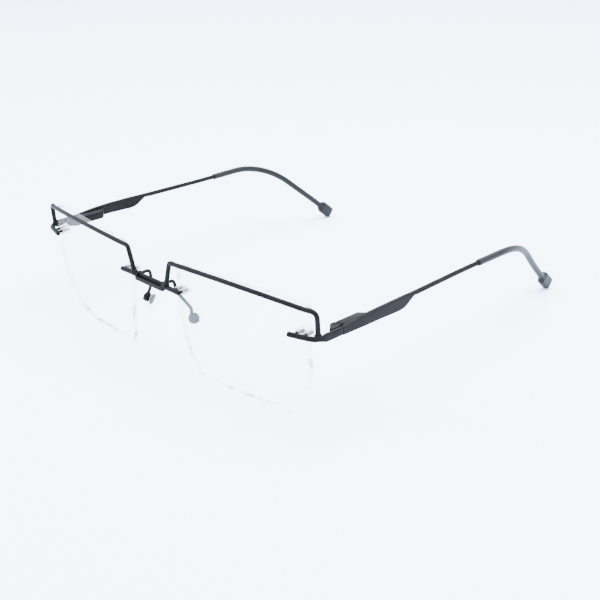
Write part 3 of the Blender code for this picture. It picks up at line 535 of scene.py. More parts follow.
@dataclass(frozen=True)
class ClearPlastic:
    """Clear moulded plastic, such as the lens bushings: glassy, brighter where it is seen on edge."""

    name: str = "clear_moulded_plastic"
    slot: str = "clear_plastic"
    colour: tuple[float, float, float] = (0.80, 0.82, 0.86)
    shade: tuple[float, float, float] = (0.45, 0.47, 0.52)
    alpha: float = 0.22
    rim: float = 0.45

    def build(self) -> bpy.types.Material:
        """Wires up the finish.

        Returns:
            The material.
        """
        graph = Graph(self.name)
        cloud = graph.noise(500.0, 2.0)
        facing = graph.signal(graph.add("ShaderNodeLayerWeight", {}, {"Blend": 0.4}), "Facing")
        return graph.surface({
            "Base Color": graph.mix(cloud.between(0.3, 0.7), self.colour, self.shade),
            "Roughness": 0.08 + cloud * 0.08,
            "Alpha": self.alpha + facing * self.rim + cloud * 0.06,
            "IOR": 1.49,
        })


@dataclass(frozen=True)
class Silicone:
    """Clear soft silicone: slightly milky, with a satin skin that shows most at its rim."""

    name: str = "clear_silicone"
    slot: str = "silicone"
    colour: tuple[float, float, float] = (0.86, 0.88, 0.91)
    milky: tuple[float, float, float] = (0.78, 0.80, 0.84)
    alpha: float = 0.03
    rim: float = 0.16

    def build(self) -> bpy.types.Material:
        """Wires up the finish.

        Returns:
            The material.
        """
        graph = Graph(self.name)
        cloud = graph.noise(240.0, 3.0)
        fine = graph.noise(3000.0, 2.0)
        facing = graph.signal(graph.add("ShaderNodeLayerWeight", {}, {"Blend": 0.35}), "Facing")
        return graph.surface({
            "Base Color": graph.mix(cloud, self.colour, self.milky),
            "Roughness": 0.22 + cloud * 0.12,
            "Alpha": self.alpha + facing * self.rim + cloud * 0.03,
            "IOR": 1.41,
            "Normal": graph.bump(fine, 0.004 * MM),
        })


@dataclass(frozen=True)
class SleevePlastic:
    """Matte dark grey plastic of the temple tips: fine moulded grain, satin on the rounded side."""

    name: str = "matte_sleeve_plastic"
    slot: str = "sleeve"
    dark: tuple[float, float, float] = (0.0036, 0.0034, 0.0031)
    light: tuple[float, float, float] = (0.0058, 0.0055, 0.0050)

    def build(self) -> bpy.types.Material:
        """Wires up the finish.

        Returns:
            The material.
        """
        graph = Graph(self.name)
        broad = graph.noise(130.0, 3.0)
        fine = graph.noise(2200.0, 3.0)
        return graph.surface({
            "Base Color": graph.mix(broad.between(0.3, 0.7), self.dark, self.light),
            "Roughness": 0.36 + broad * 0.10 + fine * 0.08,
            "Specular IOR Level": 0.10,
            "Normal": graph.bump(fine, 0.008 * MM),
        })


@dataclass(frozen=True)
class PaleFloor:
    """The plain pale table top."""

    name: str = "pale_floor"
    slot: str = ""
    colour: tuple[float, float, float] = (0.77, 0.84, 0.98)
    other: tuple[float, float, float] = (0.78, 0.85, 0.985)

    def build(self) -> bpy.types.Material:
        """Wires up the finish.

        Returns:
            The material.
        """
        graph = Graph(self.name)
        broad = graph.noise(5.0, 2.0)
        return graph.surface({
            "Base Color": graph.mix(broad, self.colour, self.other),
            "Roughness": 0.55 + broad * 0.1,
            "Specular IOR Level": 0.2,
        })


@dataclass
class Palette:
    """Every finish, made into its material once."""

    metal: CoatedMetal = field(default_factory=CoatedMetal)
    steel: BrightSteel = field(default_factory=BrightSteel)
    lens: CoatedLens = field(default_factory=CoatedLens)
    clear: ClearPlastic = field(default_factory=ClearPlastic)
    silicone: Silicone = field(default_factory=Silicone)
    sleeve: SleevePlastic = field(default_factory=SleevePlastic)
    floor: PaleFloor = field(default_factory=PaleFloor)
    made: dict[str, bpy.types.Material] = field(default_factory=dict)

    def of(self, finish: object) -> bpy.types.Material:
        """The material of a finish.

        Args:
            finish: The finish.

        Returns:
            Its material, built the first time.
        """
        if finish.name not in self.made:
            self.made[finish.name] = finish.build()
        return self.made[finish.name]


# ---------------------------------------------------------------- putting pieces on the frame


@dataclass
class Fitter:
    """Turns grids and copies of frame nodes into finished pieces that ride on the frame."""

    palette: Palette
    count: int = 0

    def dress(
        self,
        mesh: bpy.types.Mesh,
        name: str,
        finish: object,
        body: str,
        nodes: tuple[str, ...] = (),
        sharp: float = 40.0,
    ) -> bpy.types.Object:
        """Makes a piece of a mesh.

        Args:
            mesh: The mesh, in place.
            name: The piece's name.
            finish: Its finish.
            body: The body that it rides on.
            nodes: The frame nodes that it stands for.
            sharp: The angle in degrees past which an edge stays crisp.

        Returns:
            The piece.
        """
        piece = bpy.data.objects.new(name, mesh)
        bpy.context.scene.collection.objects.link(piece)
        mesh.materials.clear()
        mesh.materials.append(self.palette.of(finish))
        mesh.polygons.foreach_set("use_smooth", np.ones(len(mesh.polygons), bool))
        mesh.set_sharp_from_angle(angle=math.radians(sharp))
        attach(piece, body)
        if nodes:
            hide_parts(*nodes)
        self.count += 1
        log.info("%s: %d faces on %s", name, len(mesh.polygons), body)
        return piece

    def softened(self, node: str, finish: object, body: str, width: float, name: str) -> bpy.types.Object:
        """A copy of a frame node with flat faces merged and its edges broken by a small bevel.

        Args:
            node: The frame node, which the piece stands for.
            finish: Its finish.
            body: The body that it rides on.
            width: The width of the bevel.
            name: The piece's name.

        Returns:
            The piece.
        """
        mesh = frame["nodes"][node].data.copy()
        made = bmesh.new()
        made.from_mesh(mesh)
        bmesh.ops.remove_doubles(made, verts=made.verts, dist=0.0005 * MM)
        bmesh.ops.dissolve_limit(made, angle_limit=math.radians(1.0), verts=made.verts, edges=made.edges)
        made.to_mesh(mesh)
        made.free()
        piece = self.dress(mesh, name, finish, body, (node,), 35.0)
        edges = piece.modifiers.new("broken_edges", "BEVEL")
        edges.width = width
        edges.segments = 2
        edges.limit_method = "ANGLE"
        edges.angle_limit = math.radians(40)
        return piece


# ---------------------------------------------------------------- shared places


@dataclass(frozen=True)
class Layout:
    """The places that the sub-assemblies share, read from the frame."""

    hinge: Array
    pad_centre: Array
    pad_axis: Array
    lens_inner: float
    lens_outer: float
    lens_height: float
    shift: float
    mount_lift: float = 0.75 * MM
    end_mount_lift: float = 0.1 * MM
    arm_radius: float = 0.85 * MM
    arm_standoff: float = 0.2 * MM
    end_arm_standoff: float = 1.0 * MM
    knuckle_reach: float = 1.75 * MM
    blade_thickness: float = 1.4 * MM
    tab_thickness: float = 1.3 * MM
    post_spacing: float = 2.8 * MM

    @classmethod
    def read(cls, arch: float = 1.8 * MM, backset: float = 17.4 * MM) -> "Layout":
        """Takes the hinge, the pads and the lens's box from the frame.

        Args:
            arch: How far the lens's top edge rises in its middle.
            backset: How far the hinge lies behind the design origin.

        Returns:
            The layout.
        """
        joints = {joint["name"]: joint for joint in frame["joints"]}
        hinge = np.array(joints["temple_fold_left"]["pos_m"], float)
        rock = joints["pad_rock_left"]
        low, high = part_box("lens_left")
        return cls(
            hinge=hinge,
            pad_centre=np.array(rock["pos_m"], float),
            pad_axis=unit(np.array(rock["axis"], float)),
            lens_inner=low.x,
            lens_outer=high.x,
            lens_height=high.z - arch,
            shift=hinge[1] - backset,
        )

    @property
    def mount(self) -> float:
        """The height of the bridge's arms and posts."""
        return float(self.hinge[2]) + self.mount_lift

    @property
    def end_mount(self) -> float:
        """The height of the end pieces and their posts."""
        return float(self.hinge[2]) + self.end_mount_lift

    @property
    def blade_outer(self) -> float:
        """The x of the temple's outer face."""
        return float(self.hinge[0]) + self.knuckle_reach + self.blade_thickness

    @property
    def tab_x(self) -> float:
        """The x of the middle of the end piece's tab."""
        return self.blade_outer - self.tab_thickness / 2


@dataclass
class Lens:
    """A drilled lens: a shallow bowl of even thickness with a polished edge."""

    layout: Layout
    wrap: float = math.radians(7.1)
    tilt: float = math.radians(5.0)
    radius: float = 140.0 * MM
    thickness: float = 2.0 * MM
    arch: float = 1.8 * MM
    nasal_flare: float = 4.8 * MM
    corner: float = 11.5 * MM
    set_back: float = 1.2 * MM
    edge_bevel: float = 0.18 * MM
    nasal_outset: float = 0.5 * MM
    outer_inset: float = 0.6 * MM
    hole_radius: float = 1.1 * MM

    def bowl(self, x: Array | float, z: Array | float) -> Array | float:
        """Depth about the lens's middle: x tan(wrap) - z tan(tilt) + (x squared + z squared) / 2R.

        Args:
            x: Across.
            z: Up.

        Returns:
            The depth, more towards the back.
        """
        across = x - (self.layout.lens_inner + self.layout.lens_outer) / 2
        up = z - self.layout.lens_height / 2
        slope = across * math.tan(self.wrap) - up * math.tan(self.tilt)
        return slope + (across**2 + up**2) / (2 * self.radius)

    def front(self, x: Array | float, z: Array | float) -> Array | float:
        """How far back the front surface lies."""
        zero = self.bowl(self.layout.lens_inner, self.layout.lens_height)
        return self.bowl(x, z) - zero + self.set_back + self.layout.shift

    def top(self, x: Array | float) -> Array | float:
        """The height of the arched top edge: a parabola between the two corners.

        Args:
            x: Across.

        Returns:
            The height.
        """
        half = (self.layout.lens_outer - self.layout.lens_inner) / 2
        share = (x - self.layout.lens_inner - half) / half
        return self.layout.lens_height + self.arch * (1 - share**2)

    def arm_y(self, x: Array | float) -> Array | float:
        """Where the centre line of a bridge arm lies in front of the lens."""
        return self.front(x, self.layout.mount) - self.layout.arm_radius - self.layout.arm_standoff

    def end_arm_y(self, x: Array | float) -> Array | float:
        """Where the centre line of an end piece's arm lies in front of the lens."""
        return self.front(x, self.layout.end_mount) - self.layout.arm_radius - self.layout.end_arm_standoff

    def posts(self) -> dict[str, tuple[float, float, float]]:
        """Each post's foot on its arm's centre line, by its bushing's name.

        Returns:
            The feet.
        """
        notch = self.layout.lens_inner - self.nasal_outset
        outer = self.layout.lens_outer - self.outer_inset
        gap, mount, end_mount = self.layout.post_spacing, self.layout.mount, self.layout.end_mount
        return {
            "notch": (notch, self.arm_y(notch), mount),
            "nasal": (notch + gap, self.arm_y(notch + gap), mount),
            "outer": (outer, self.end_arm_y(outer), end_mount),
            "tip": (outer - gap, self.end_arm_y(outer - gap), end_mount),
        }

    def outline(self, count: int = 320) -> Array:
        """The outline in x and z: an arched top, a flat foot and a wide lower outer corner.

        Args:
            count: How many points.

        Returns:
            The points, evenly spaced.
        """
        inner, outer = self.layout.lens_inner, self.layout.lens_outer
        height = self.layout.lens_height
        top = np.linspace(outer, inner, 26)[1:-1]
        corners = [
            ((outer, self.top(outer)), 1.6 * MM),
            *(((x, self.top(x)), 0) for x in top),
            ((inner, self.top(inner)), 1.2 * MM),
            ((inner + 0.1 * MM, height * 0.52), 16 * MM),
            ((inner + self.nasal_flare, 0), 1.6 * MM),
            ((outer - self.corner, 0), self.corner * 1.2),
            ((outer, self.corner), self.corner * 1.2),
        ]
        path = rounded(corners)
        path = np.concatenate([path, path[:1]])
        spots = np.linspace(0, lengths_along(path)[-1], count + 1)[:-1]
        return at_lengths(path, spots)

    def grid(self) -> Array:
        """From the middle of the front out to the edge, over the bevels, and back in over the rear surface.

        Returns:
            The surface's grid, rows by around by 3.
        """
        line = self.outline()
        middle = line.mean(axis=0)
        outward = unit(line - middle)
        inset = line - outward * self.edge_bevel
        shares = np.linspace(0.04, 1, 22)[:, None, None]
        face = middle + shares * (inset - middle)
        walls = np.stack([line, line, line])
        flat = np.concatenate([face, walls, face[::-1]])
        front = self.front(face[..., 0], face[..., 1])
        rim = self.front(line[:, 0], line[:, 1])
        bevel, depth = self.edge_bevel, self.thickness
        edge = np.stack([rim + bevel, rim + depth / 2, rim + depth - bevel])
        y = np.concatenate([front, edge, front[::-1] + depth])
        return np.stack([flat[..., 0], y, flat[..., 1]], axis=2)

    def drilled(self, mesh: bpy.types.Mesh, side: Side) -> bpy.types.Mesh:
        """The lens with a hole or notch where each post goes through.

        Args:
            mesh: The undrilled lens.
            side: The side to make.

        Returns:
            The drilled mesh.
        """
        blank = bpy.data.objects.new("lens_blank", mesh)
        bpy.context.scene.collection.objects.link(blank)
        drills = []
        for x, _, z in self.posts().values():
            start = np.array([x, self.layout.shift - 20 * MM, z])
            profile = [(self.hole_radius, 0.0), (self.hole_radius, 50 * MM)]
            grid = revolved(profile, start, np.array([0, 1.0, 0]), 32)
            drill = bpy.data.objects.new("drill", mesh_of("drill", grid, side))
            bpy.context.scene.collection.objects.link(drill)
            step = blank.modifiers.new("hole", "BOOLEAN")
            step.object = drill
            step.solver = "EXACT"
            drills.append(drill)
        bpy.context.view_layer.update()
        done = bpy.data.meshes.new_from_object(blank.evaluated_get(bpy.context.evaluated_depsgraph_get()))
        for used in (blank, *drills):
            bpy.data.objects.remove(used, do_unlink=True)
        return done

    def build(self, fitter: Fitter, side: Side) -> None:
        """Makes the lens of one side.

        Args:
            fitter: What puts the pieces on the frame.
            side: The side to make.
        """
        mesh = self.drilled(mesh_of("lens", self.grid(), side), side)
        mesh.name = f"clear_lens_{side.tag}"
        fitter.dress(mesh, mesh.name, fitter.palette.lens, "front", (f"lens_{side.tag}",), 50.0)


@dataclass
class Bushings:
    """The clear plugs that grip the posts in the lens's holes."""

    layout: Layout
    lens: Lens
    radius: float = 1.0 * MM
    flange: float = 0.35 * MM
    cap: float = 0.9 * MM
    clearance: float = 0.3 * MM
    edge: float = 0.15 * MM

    def back(self, x: float, z: float) -> float:
        """How far back the flange sits, clear of the lens's slope.

        Args:
            x: The post, across.
            z: The post, up.

        Returns:
            The y.
        """
        reach = self.radius + self.flange
        slope = abs(self.lens.front(x + reach, z) - self.lens.front(x - reach, z)) / 2
        return self.lens.front(x, z) + self.lens.thickness + slope + self.clearance

    def build(self, fitter: Fitter, side: Side) -> None:
        """Makes the four bushings of one side, each turned about its post.

        Args:
            fitter: What puts the pieces on the frame.
            side: The side to make.
        """
        for name, (x, _, z) in self.lens.posts().items():
            start = self.lens.front(x, z) + self.clearance
            back = self.back(x, z) - start
            top = back + self.cap
            wide = self.radius + self.flange
            edge = self.edge
            profile = [
                (self.radius - 0.05 * MM, 0.0), (self.radius, 0.05 * MM), (self.radius, back - edge),
                (self.radius + edge, back), (wide - edge, back), (wide, back + edge), (wide, top - 2 * edge),
                (wide - edge * 0.6, top - edge * 0.6), (wide - 2 * edge, top), (wide * 0.4, top + 0.04 * MM),
            ]
            foot = np.array([x, start, z])
            mesh = mesh_of(name, revolved(profile, foot, np.array([0, 1.0, 0]), 36), side)
            piece = f"clear_bushing_{name}_{side.tag}"
            fitter.dress(mesh, piece, fitter.palette.clear, "front", (f"bushing_{name}_{side.tag}",), 50.0)


@dataclass
class Bridge:
    """The fluted bar over the nose, its arms and the posts on them."""

    layout: Layout
    lens: Lens
    bushings: Bushings
    length: float = 14.6 * MM
    height: float = 2.7 * MM
    depth: float = 1.7 * MM
    post_radius: float = 0.5 * MM
    overhang: float = 0.1 * MM
    lift: float = -0.25 * MM
    end_bevel: float = 0.4 * MM

    @property
    def y(self) -> float:
        """The arms' centre line where they leave the bar."""
        return self.lens.arm_y(self.layout.lens_inner)

    def section(self) -> Array:
        """The bar's section: a ridge on top at the back, a deep flute, and a lower rib in front.

        Returns:
            Its points, back and up.
        """
        half = self.height / 2
        back = self.layout.arm_radius * 0.85
        front = back - self.depth
        corners = [
            ((back, -half * 0.9), 0.25 * MM),
            ((back, half), 0.3 * MM),
            ((back - 0.6 * MM, half), 0.2 * MM),
            ((back - 0.75 * MM, -half * 0.35), 0.12 * MM),
            ((front + 0.45 * MM, -half * 0.35), 0.12 * MM),
            ((front + 0.38 * MM, half * 0.1), 0.12 * MM),
            ((front, -half * 0.05), 0.15 * MM),
            ((front, -half), 0.25 * MM),
            ((front + 0.4 * MM, -half - 0.15 * MM), 0.15 * MM),
            ((back - 0.3 * MM, -half - 0.15 * MM), 0.15 * MM),
        ]
        path = rounded(corners, 6)
        path = np.concatenate([path, path[:1]])
        return at_lengths(path, np.linspace(0, lengths_along(path)[-1], 97)[:-1])

    def bar(self) -> Array:
        """The section carried across, shrinking towards its middle at both bevelled ends.

        Returns:
            The surface's grid.
        """
        outline = self.section()
        middle = outline.mean(axis=0)
        half = self.length / 2
        x = np.concatenate([[-half], np.linspace(-half + self.end_bevel, half - self.end_bevel, 30), [half]])
        share = np.where(np.abs(x) > half - self.end_bevel / 2, 0.78, 1.0)[:, None, None]
        flat = middle + share * (outline - middle)
        y = self.y + flat[..., 0]
        z = self.layout.mount + self.lift + flat[..., 1]
        return np.stack([np.broadcast_to(x[:, None], y.shape), y, z], axis=2)

    def arm(self) -> Array:
        """A round arm out of the bar's end, domed at its tip.

        Returns:
            The surface's grid.
        """
        radius = self.layout.arm_radius
        tip = self.lens.posts()["nasal"][0] + self.overhang + radius
        x = np.linspace(self.length / 2 - 1.0 * MM, tip, 60)
        y = self.lens.arm_y(np.maximum(x, self.layout.lens_inner))
        path = np.stack([x, y, np.full_like(x, self.layout.mount)], axis=1)
        spots = packed_ends(lengths_along(path)[-1], 0.4 * MM, radius, start=False)
        size = radius * dome(spots, radius)
        return sweep(at_lengths(softened_path(path, 3), spots), superellipse(size, size, 1.0, 32), (0, 0, 1))

    def post(self, name: str) -> Array:
        """A post from an arm's middle into the bushing of that name.

        Args:
            name: The bushing's name.

        Returns:
            The surface's grid.
        """
        x, y, z = self.lens.posts()[name]
        end = self.bushings.back(x, z) + self.bushings.cap - 0.4 * MM - y
        r = self.post_radius
        profile = [(r, 0.0), (r, end - 0.15 * MM), (r - 0.15 * MM, end)]
        return revolved(profile, np.array([x, y, z]), np.array([0, 1.0, 0]), 24)

    def build(self, fitter: Fitter) -> None:
        """Makes the bar, then each side's arm and posts.

        Args:
            fitter: What puts the pieces on the frame.
        """
        metal = fitter.palette.metal
        fitter.dress(mesh_of("bar", self.bar()), "bridge_bar", metal, "front", ("bridge",), 40.0)
        for side in Side:
            fitter.dress(mesh_of("arm", self.arm(), side), f"bridge_arm_{side.tag}", metal, "front")
            for name in ("notch", "nasal"):
                mesh = mesh_of("post", self.post(name), side)
                fitter.dress(mesh, f"lens_post_{name}_{side.tag}", metal, "front")


@dataclass
class EndPiece:
    """The round arm at the lens's outer edge, bent back and flattened into the hinge's tab."""

    layout: Layout
    lens: Lens
    bridge: Bridge
    overhang: float = 1.0 * MM
    bend: float = 4.5 * MM
    tab_height: float = 2.6 * MM
    tab_length: float = 7.5 * MM

    def path(self) -> Array:
        """Along the lens, round its edge on one arc and straight back to the temple.

        Returns:
            The centre line.
        """
        posts = self.lens.posts()
        tip = posts["tip"][0] - self.overhang - self.layout.arm_radius
        tab_x, height = self.layout.tab_x, self.layout.end_mount
        corners = [
            ((tip, self.lens.end_arm_y(tip), height), 0),
            (posts["outer"], 0),
            ((tab_x, self.lens.end_arm_y(tab_x), height), self.bend),
            ((tab_x, float(self.layout.hinge[1]) - 0.2 * MM, height), 0),
        ]
        return rounded(corners, 30)

    def grid(self) -> Array:
        """A round section that turns into a soft box towards the tab.

        Returns:
            The surface's grid.
        """
        path = self.path()
        total = lengths_along(path)[-1]
        radius = self.layout.arm_radius
        spots = packed_ends(total, 0.3 * MM, radius, end=False)
        spots = np.concatenate([spots[:-1], [total - 0.12 * MM, total]])
        flat = ease((spots - (total - self.tab_length - 1.5 * MM)) / (2.5 * MM))
        half_w = radius + (self.layout.tab_thickness / 2 - radius) * flat
        half_h = radius + (self.tab_height / 2 - radius) * flat
        trim = np.ones_like(spots)
        trim[-1] = 0.86
        keep = dome(spots, radius, start=True, end=False) * trim
        smooth_path = softened_path(at_lengths(path, spots), 2)
        sections = superellipse(half_w * keep, half_h * keep, 1.0 - 0.62 * flat, 44)
        return sweep(smooth_path, sections, (0, 0, 1))

    def build(self, fitter: Fitter, side: Side) -> None:
        """Makes the end piece and its two posts on one side.

        Args:
            fitter: What puts the pieces on the frame.
            side: The side to make.
        """
        metal = fitter.palette.metal
        name = f"end_piece_arm_{side.tag}"
        arm = mesh_of(name, self.grid(), side)
        fitter.dress(arm, name, metal, "front", (f"end_piece_{side.tag}",), 45.0)
        for post in ("outer", "tip"):
            mesh = mesh_of("post", self.bridge.post(post), side)
            fitter.dress(mesh, f"lens_post_{post}_{side.tag}", metal, "front")


@dataclass
class BrowWire:
    """The thin wire over the lens, soldered to the bridge arm and the end piece."""

    layout: Layout
    lens: Lens
    bridge: Bridge
    end_piece: EndPiece
    radius: float = 0.8 * MM
    inner_standoff: float = 0.9 * MM
    outer_standoff: float = 0.12 * MM
    inner_rise: float = 0.85 * MM
    outer_drop: float = 0.75 * MM
    before_lens: float = 1.4 * MM
    past_lens: float = 3.5 * MM
    inner_bend: float = 1.1 * MM
    outer_bend: float = 2.0 * MM
    foot_gap: float = 0.1 * MM
    foot_lift: float = 0.35 * MM
    solder: float = 0.4 * MM

    def along_top(self, x: float) -> tuple[float, float, float]:
        """The centre line before the lens's top edge, which closes in on the lens towards its outer end.

        Args:
            x: Across.

        Returns:
            The point.
        """
        inner, outer = self.layout.lens_inner - self.before_lens, self.layout.lens_outer
        left = max(1 - (x - inner) / (outer - inner), 0)
        rise = (self.inner_rise + self.outer_drop) * left**1.7 - self.outer_drop
        standoff = self.outer_standoff + (self.inner_standoff - self.outer_standoff) * left
        z = self.lens.top(min(max(x, self.layout.lens_inner), outer)) + rise
        return (x, self.lens.front(x, z) - self.radius - standoff, z)

    def path(self) -> Array:
        """Up from the bridge arm, along the lens's arched top and down to the end piece.

        Returns:
            The centre line.
        """
        inner, outer = self.layout.lens_inner - self.before_lens, self.layout.lens_outer
        run = np.linspace(inner, outer, 18)[1:]
        foot_x = self.bridge.length / 2 + self.radius + self.foot_gap
        cut = (1 - math.sqrt(0.5)) * self.end_piece.bend
        tab_x = self.layout.tab_x
        landing = (tab_x - cut, self.lens.end_arm_y(tab_x) + cut, self.layout.end_mount + self.foot_lift)
        corners = [
            ((foot_x, self.bridge.y, self.layout.mount + self.foot_lift), 0),
            (self.along_top(inner), self.inner_bend),
            *((self.along_top(x), 0) for x in run),
            (self.along_top(outer + self.past_lens), self.outer_bend),
            (landing, 0),
        ]
        return rounded(corners, 16)

    def build(self, fitter: Fitter, side: Side) -> None:
        """Makes the wire; its radius grows by the solder's fillet over the arm at both feet.

        Args:
            fitter: What puts the pieces on the frame.
            side: The side to make.
        """
        path = self.path()
        total = lengths_along(path)[-1]
        spots = packed_ends(total, 0.35 * MM, 1.6 * MM)
        line = softened_path(at_lengths(path, spots), 2)
        foot = np.minimum(spots, total - spots)
        flare = self.solder * np.exp(-np.clip(foot - 0.55 * MM, 0, None) / (0.25 * MM))
        size = self.radius + flare
        grid = sweep(line, superellipse(size, size, 1.0, 28), (0, 1, 0))
        name = f"brow_wire_round_{side.tag}"
        wire = mesh_of(name, grid, side)
        fitter.dress(wire, name, fitter.palette.metal, "front", (f"brow_wire_{side.tag}",))


@dataclass
class Temple:
    """A temple: the flat blade and thin rod in metal, and the plastic tip over the hook."""

    layout: Layout
    reach: float = 95.5 * MM
    lift: float = 1.6 * MM
    hook_angle: float = math.radians(40.0)
    hook_radius: float = 40.0 * MM
    taper_in: float = 1.4 * MM
    sweep_in: float = 9.2 * MM
    housing_end: float = 12.15 * MM
    blade_length: float = 33.4 * MM
    blade_height: float = 4.0 * MM
    front_height: float = 2.6 * MM
    rod: float = 1.7 * MM
    core: float = 1.1 * MM
    sleeve_lead: float = 12.4 * MM
    sleeve: float = 2.4 * MM
    paddle_width: float = 4.9 * MM
    paddle_thickness: float = 3.0 * MM
    paddle_length: float = 7.6 * MM

    @property
    def z(self) -> float:
        """The height of the straight rod's centre line."""
        return float(self.layout.hinge[2]) + self.lift

    @property
    def hook_start(self) -> float:
        """The y where the hook's bend begins."""
        return float(self.layout.hinge[1]) + self.reach - self.hook_radius * math.tan(self.hook_angle / 2)

    @property
    def hook_end(self) -> Array:
        """The centre line's end in the side view, where the paddle's lower corner stands on the table.

        Returns:
            Its y and z.
        """
        corner = float(self.layout.hinge[1]) + self.reach
        low = self.paddle_width / 2 * math.cos(self.hook_angle) - 0.35 * MM
        return np.array([corner + (self.z - low) / math.tan(self.hook_angle), low])

    def x_at(self, y: Array) -> Array:
        """The centre line seen from above: an eased taper along the rod, then the hook's eased sweep inwards.

        Args:
            y: Back along the temple.

        Returns:
            The x.
        """
        start = float(self.layout.hinge[1]) + self.housing_end + 2 * MM
        taper = self.taper_in * ease((y - start) / (self.hook_start - self.sleeve_lead - start))
        turn = self.sweep_in * ease((y - self.hook_start) / (self.hook_end[0] - self.hook_start))
        return self.layout.blade_outer - self.layout.blade_thickness / 2 - taper - turn

    def centre_line(self, start: float) -> Array:
        """The centre line from y = start to the tip.

        Args:
            start: The first y.

        Returns:
            The line.
        """
        corner = float(self.layout.hinge[1]) + self.reach
        side_view = rounded(
            [((start, self.z), 0), ((corner, self.z), self.hook_radius), (tuple(self.hook_end), 0)], 60
        )
        spots = np.linspace(0, lengths_along(side_view)[-1], 420)
        fine = at_lengths(side_view, spots)
        return np.stack([self.x_at(fine[:, 0]), fine[:, 0], fine[:, 1]], axis=1)

    def metal(self) -> Array:
        """The blade's top and bottom outlines meet in the round rod, which thins into the core in the tip.

        Returns:
            The surface's grid.
        """
        start = float(self.layout.hinge[1]) - 0.1 * MM
        line = self.centre_line(start)
        total = lengths_along(line)[-1] - self.paddle_length
        step_down = np.linspace(24, 40, 60) * MM
        spots = np.unique(np.concatenate([packed_ends(total, 0.7 * MM, 0.5 * MM), step_down]))
        line = at_lengths(line, spots)
        rod_top = self.rod / 2
        low = float(self.layout.hinge[2]) - 1.3 * MM - self.z
        length = self.blade_length
        top = np.interp(
            spots,
            [0, 0.28 * length, 0.5 * length, length],
            [low + self.front_height, rod_top - 0.25 * MM, rod_top, rod_top],
        )
        drop = rod_top - self.blade_height
        bottom = np.interp(
            spots,
            [*(length * np.array([0, 0.25, 0.5, 0.78, 0.835, 0.87, 1.0])), length + 1.5 * MM],
            [
                low, low - 0.2 * MM, drop, drop - 0.3 * MM, drop - 0.12 * MM, drop + 0.35 * MM,
                0.3 * MM - rod_top, -rod_top,
            ],
        )
        outline = softened_path(np.stack([top, bottom], axis=1), 2)
        to_rod = ease((spots - 0.86 * length) / (0.2 * length))
        inside = self.hook_start - self.sleeve_lead + 1.5 * MM
        into_core = np.where(start + spots > inside, self.core / self.rod, 1.0)
        half_h = (outline[:, 0] - outline[:, 1]) / 2 * into_core
        thick = self.layout.blade_thickness + (self.rod - self.layout.blade_thickness) * to_rod
        half_w = thick / 2 * into_core * (1 - 0.05 * ease((spots - length) / (30 * MM)))
        keep = dome(spots, 0.18 * MM, start=True)
        keep = np.maximum(keep, 0.8)
        line[:, 2] += (outline[:, 0] + outline[:, 1]) / 2
        sections = superellipse(half_h * keep, half_w * keep, 0.22 + 0.78 * to_rod, 44)
        return sweep(line, sections, (1, 0, 0))

    def tip(self) -> Array:
        """A round sleeve that flares into a soft flat paddle with a rounded end.

        Returns:
            The surface's grid.
        """
        line = self.centre_line(self.hook_start - self.sleeve_lead + 0.1 * MM)
        total = lengths_along(line)[-1]
        spots = packed_ends(total, 0.6 * MM, 1.3 * MM)
        line = at_lengths(line, spots)
        flare = ease((spots - (total - self.paddle_length - 1.4 * MM)) / (2.6 * MM))
        lip = 0.86 + 0.14 * dome(spots, 0.5 * MM, start=True, end=False)
        end = dome(spots, 1.3 * MM)
        half_w = (self.sleeve + (self.paddle_thickness - self.sleeve) * flare) / 2 * lip * (0.45 + 0.55 * end)
        half_h = (self.sleeve + (self.paddle_width - self.sleeve) * flare) / 2 * lip * (0.62 + 0.38 * end)
        return sweep(line, superellipse(half_h, half_w, 1.0 - 0.45 * flare, 48), (1, 0, 0))

    def build(self, fitter: Fitter, side: Side) -> None:
        """Makes the metal and the plastic tip of one side.

        Args:
            fitter: What puts the pieces on the frame.
            side: The side to make.
        """
        body = f"temple_{side.tag}"
        tag, palette = side.tag, fitter.palette
        metal = mesh_of("metal", self.metal(), side)
        fitter.dress(metal, f"temple_blade_{tag}", palette.metal, body, (f"temple_{tag}",), 45.0)
        tip = mesh_of("tip", self.tip(), side)
        fitter.dress(tip, f"sleeve_{tag}", palette.sleeve, body, (f"temple_tip_{tag}",), 50.0)


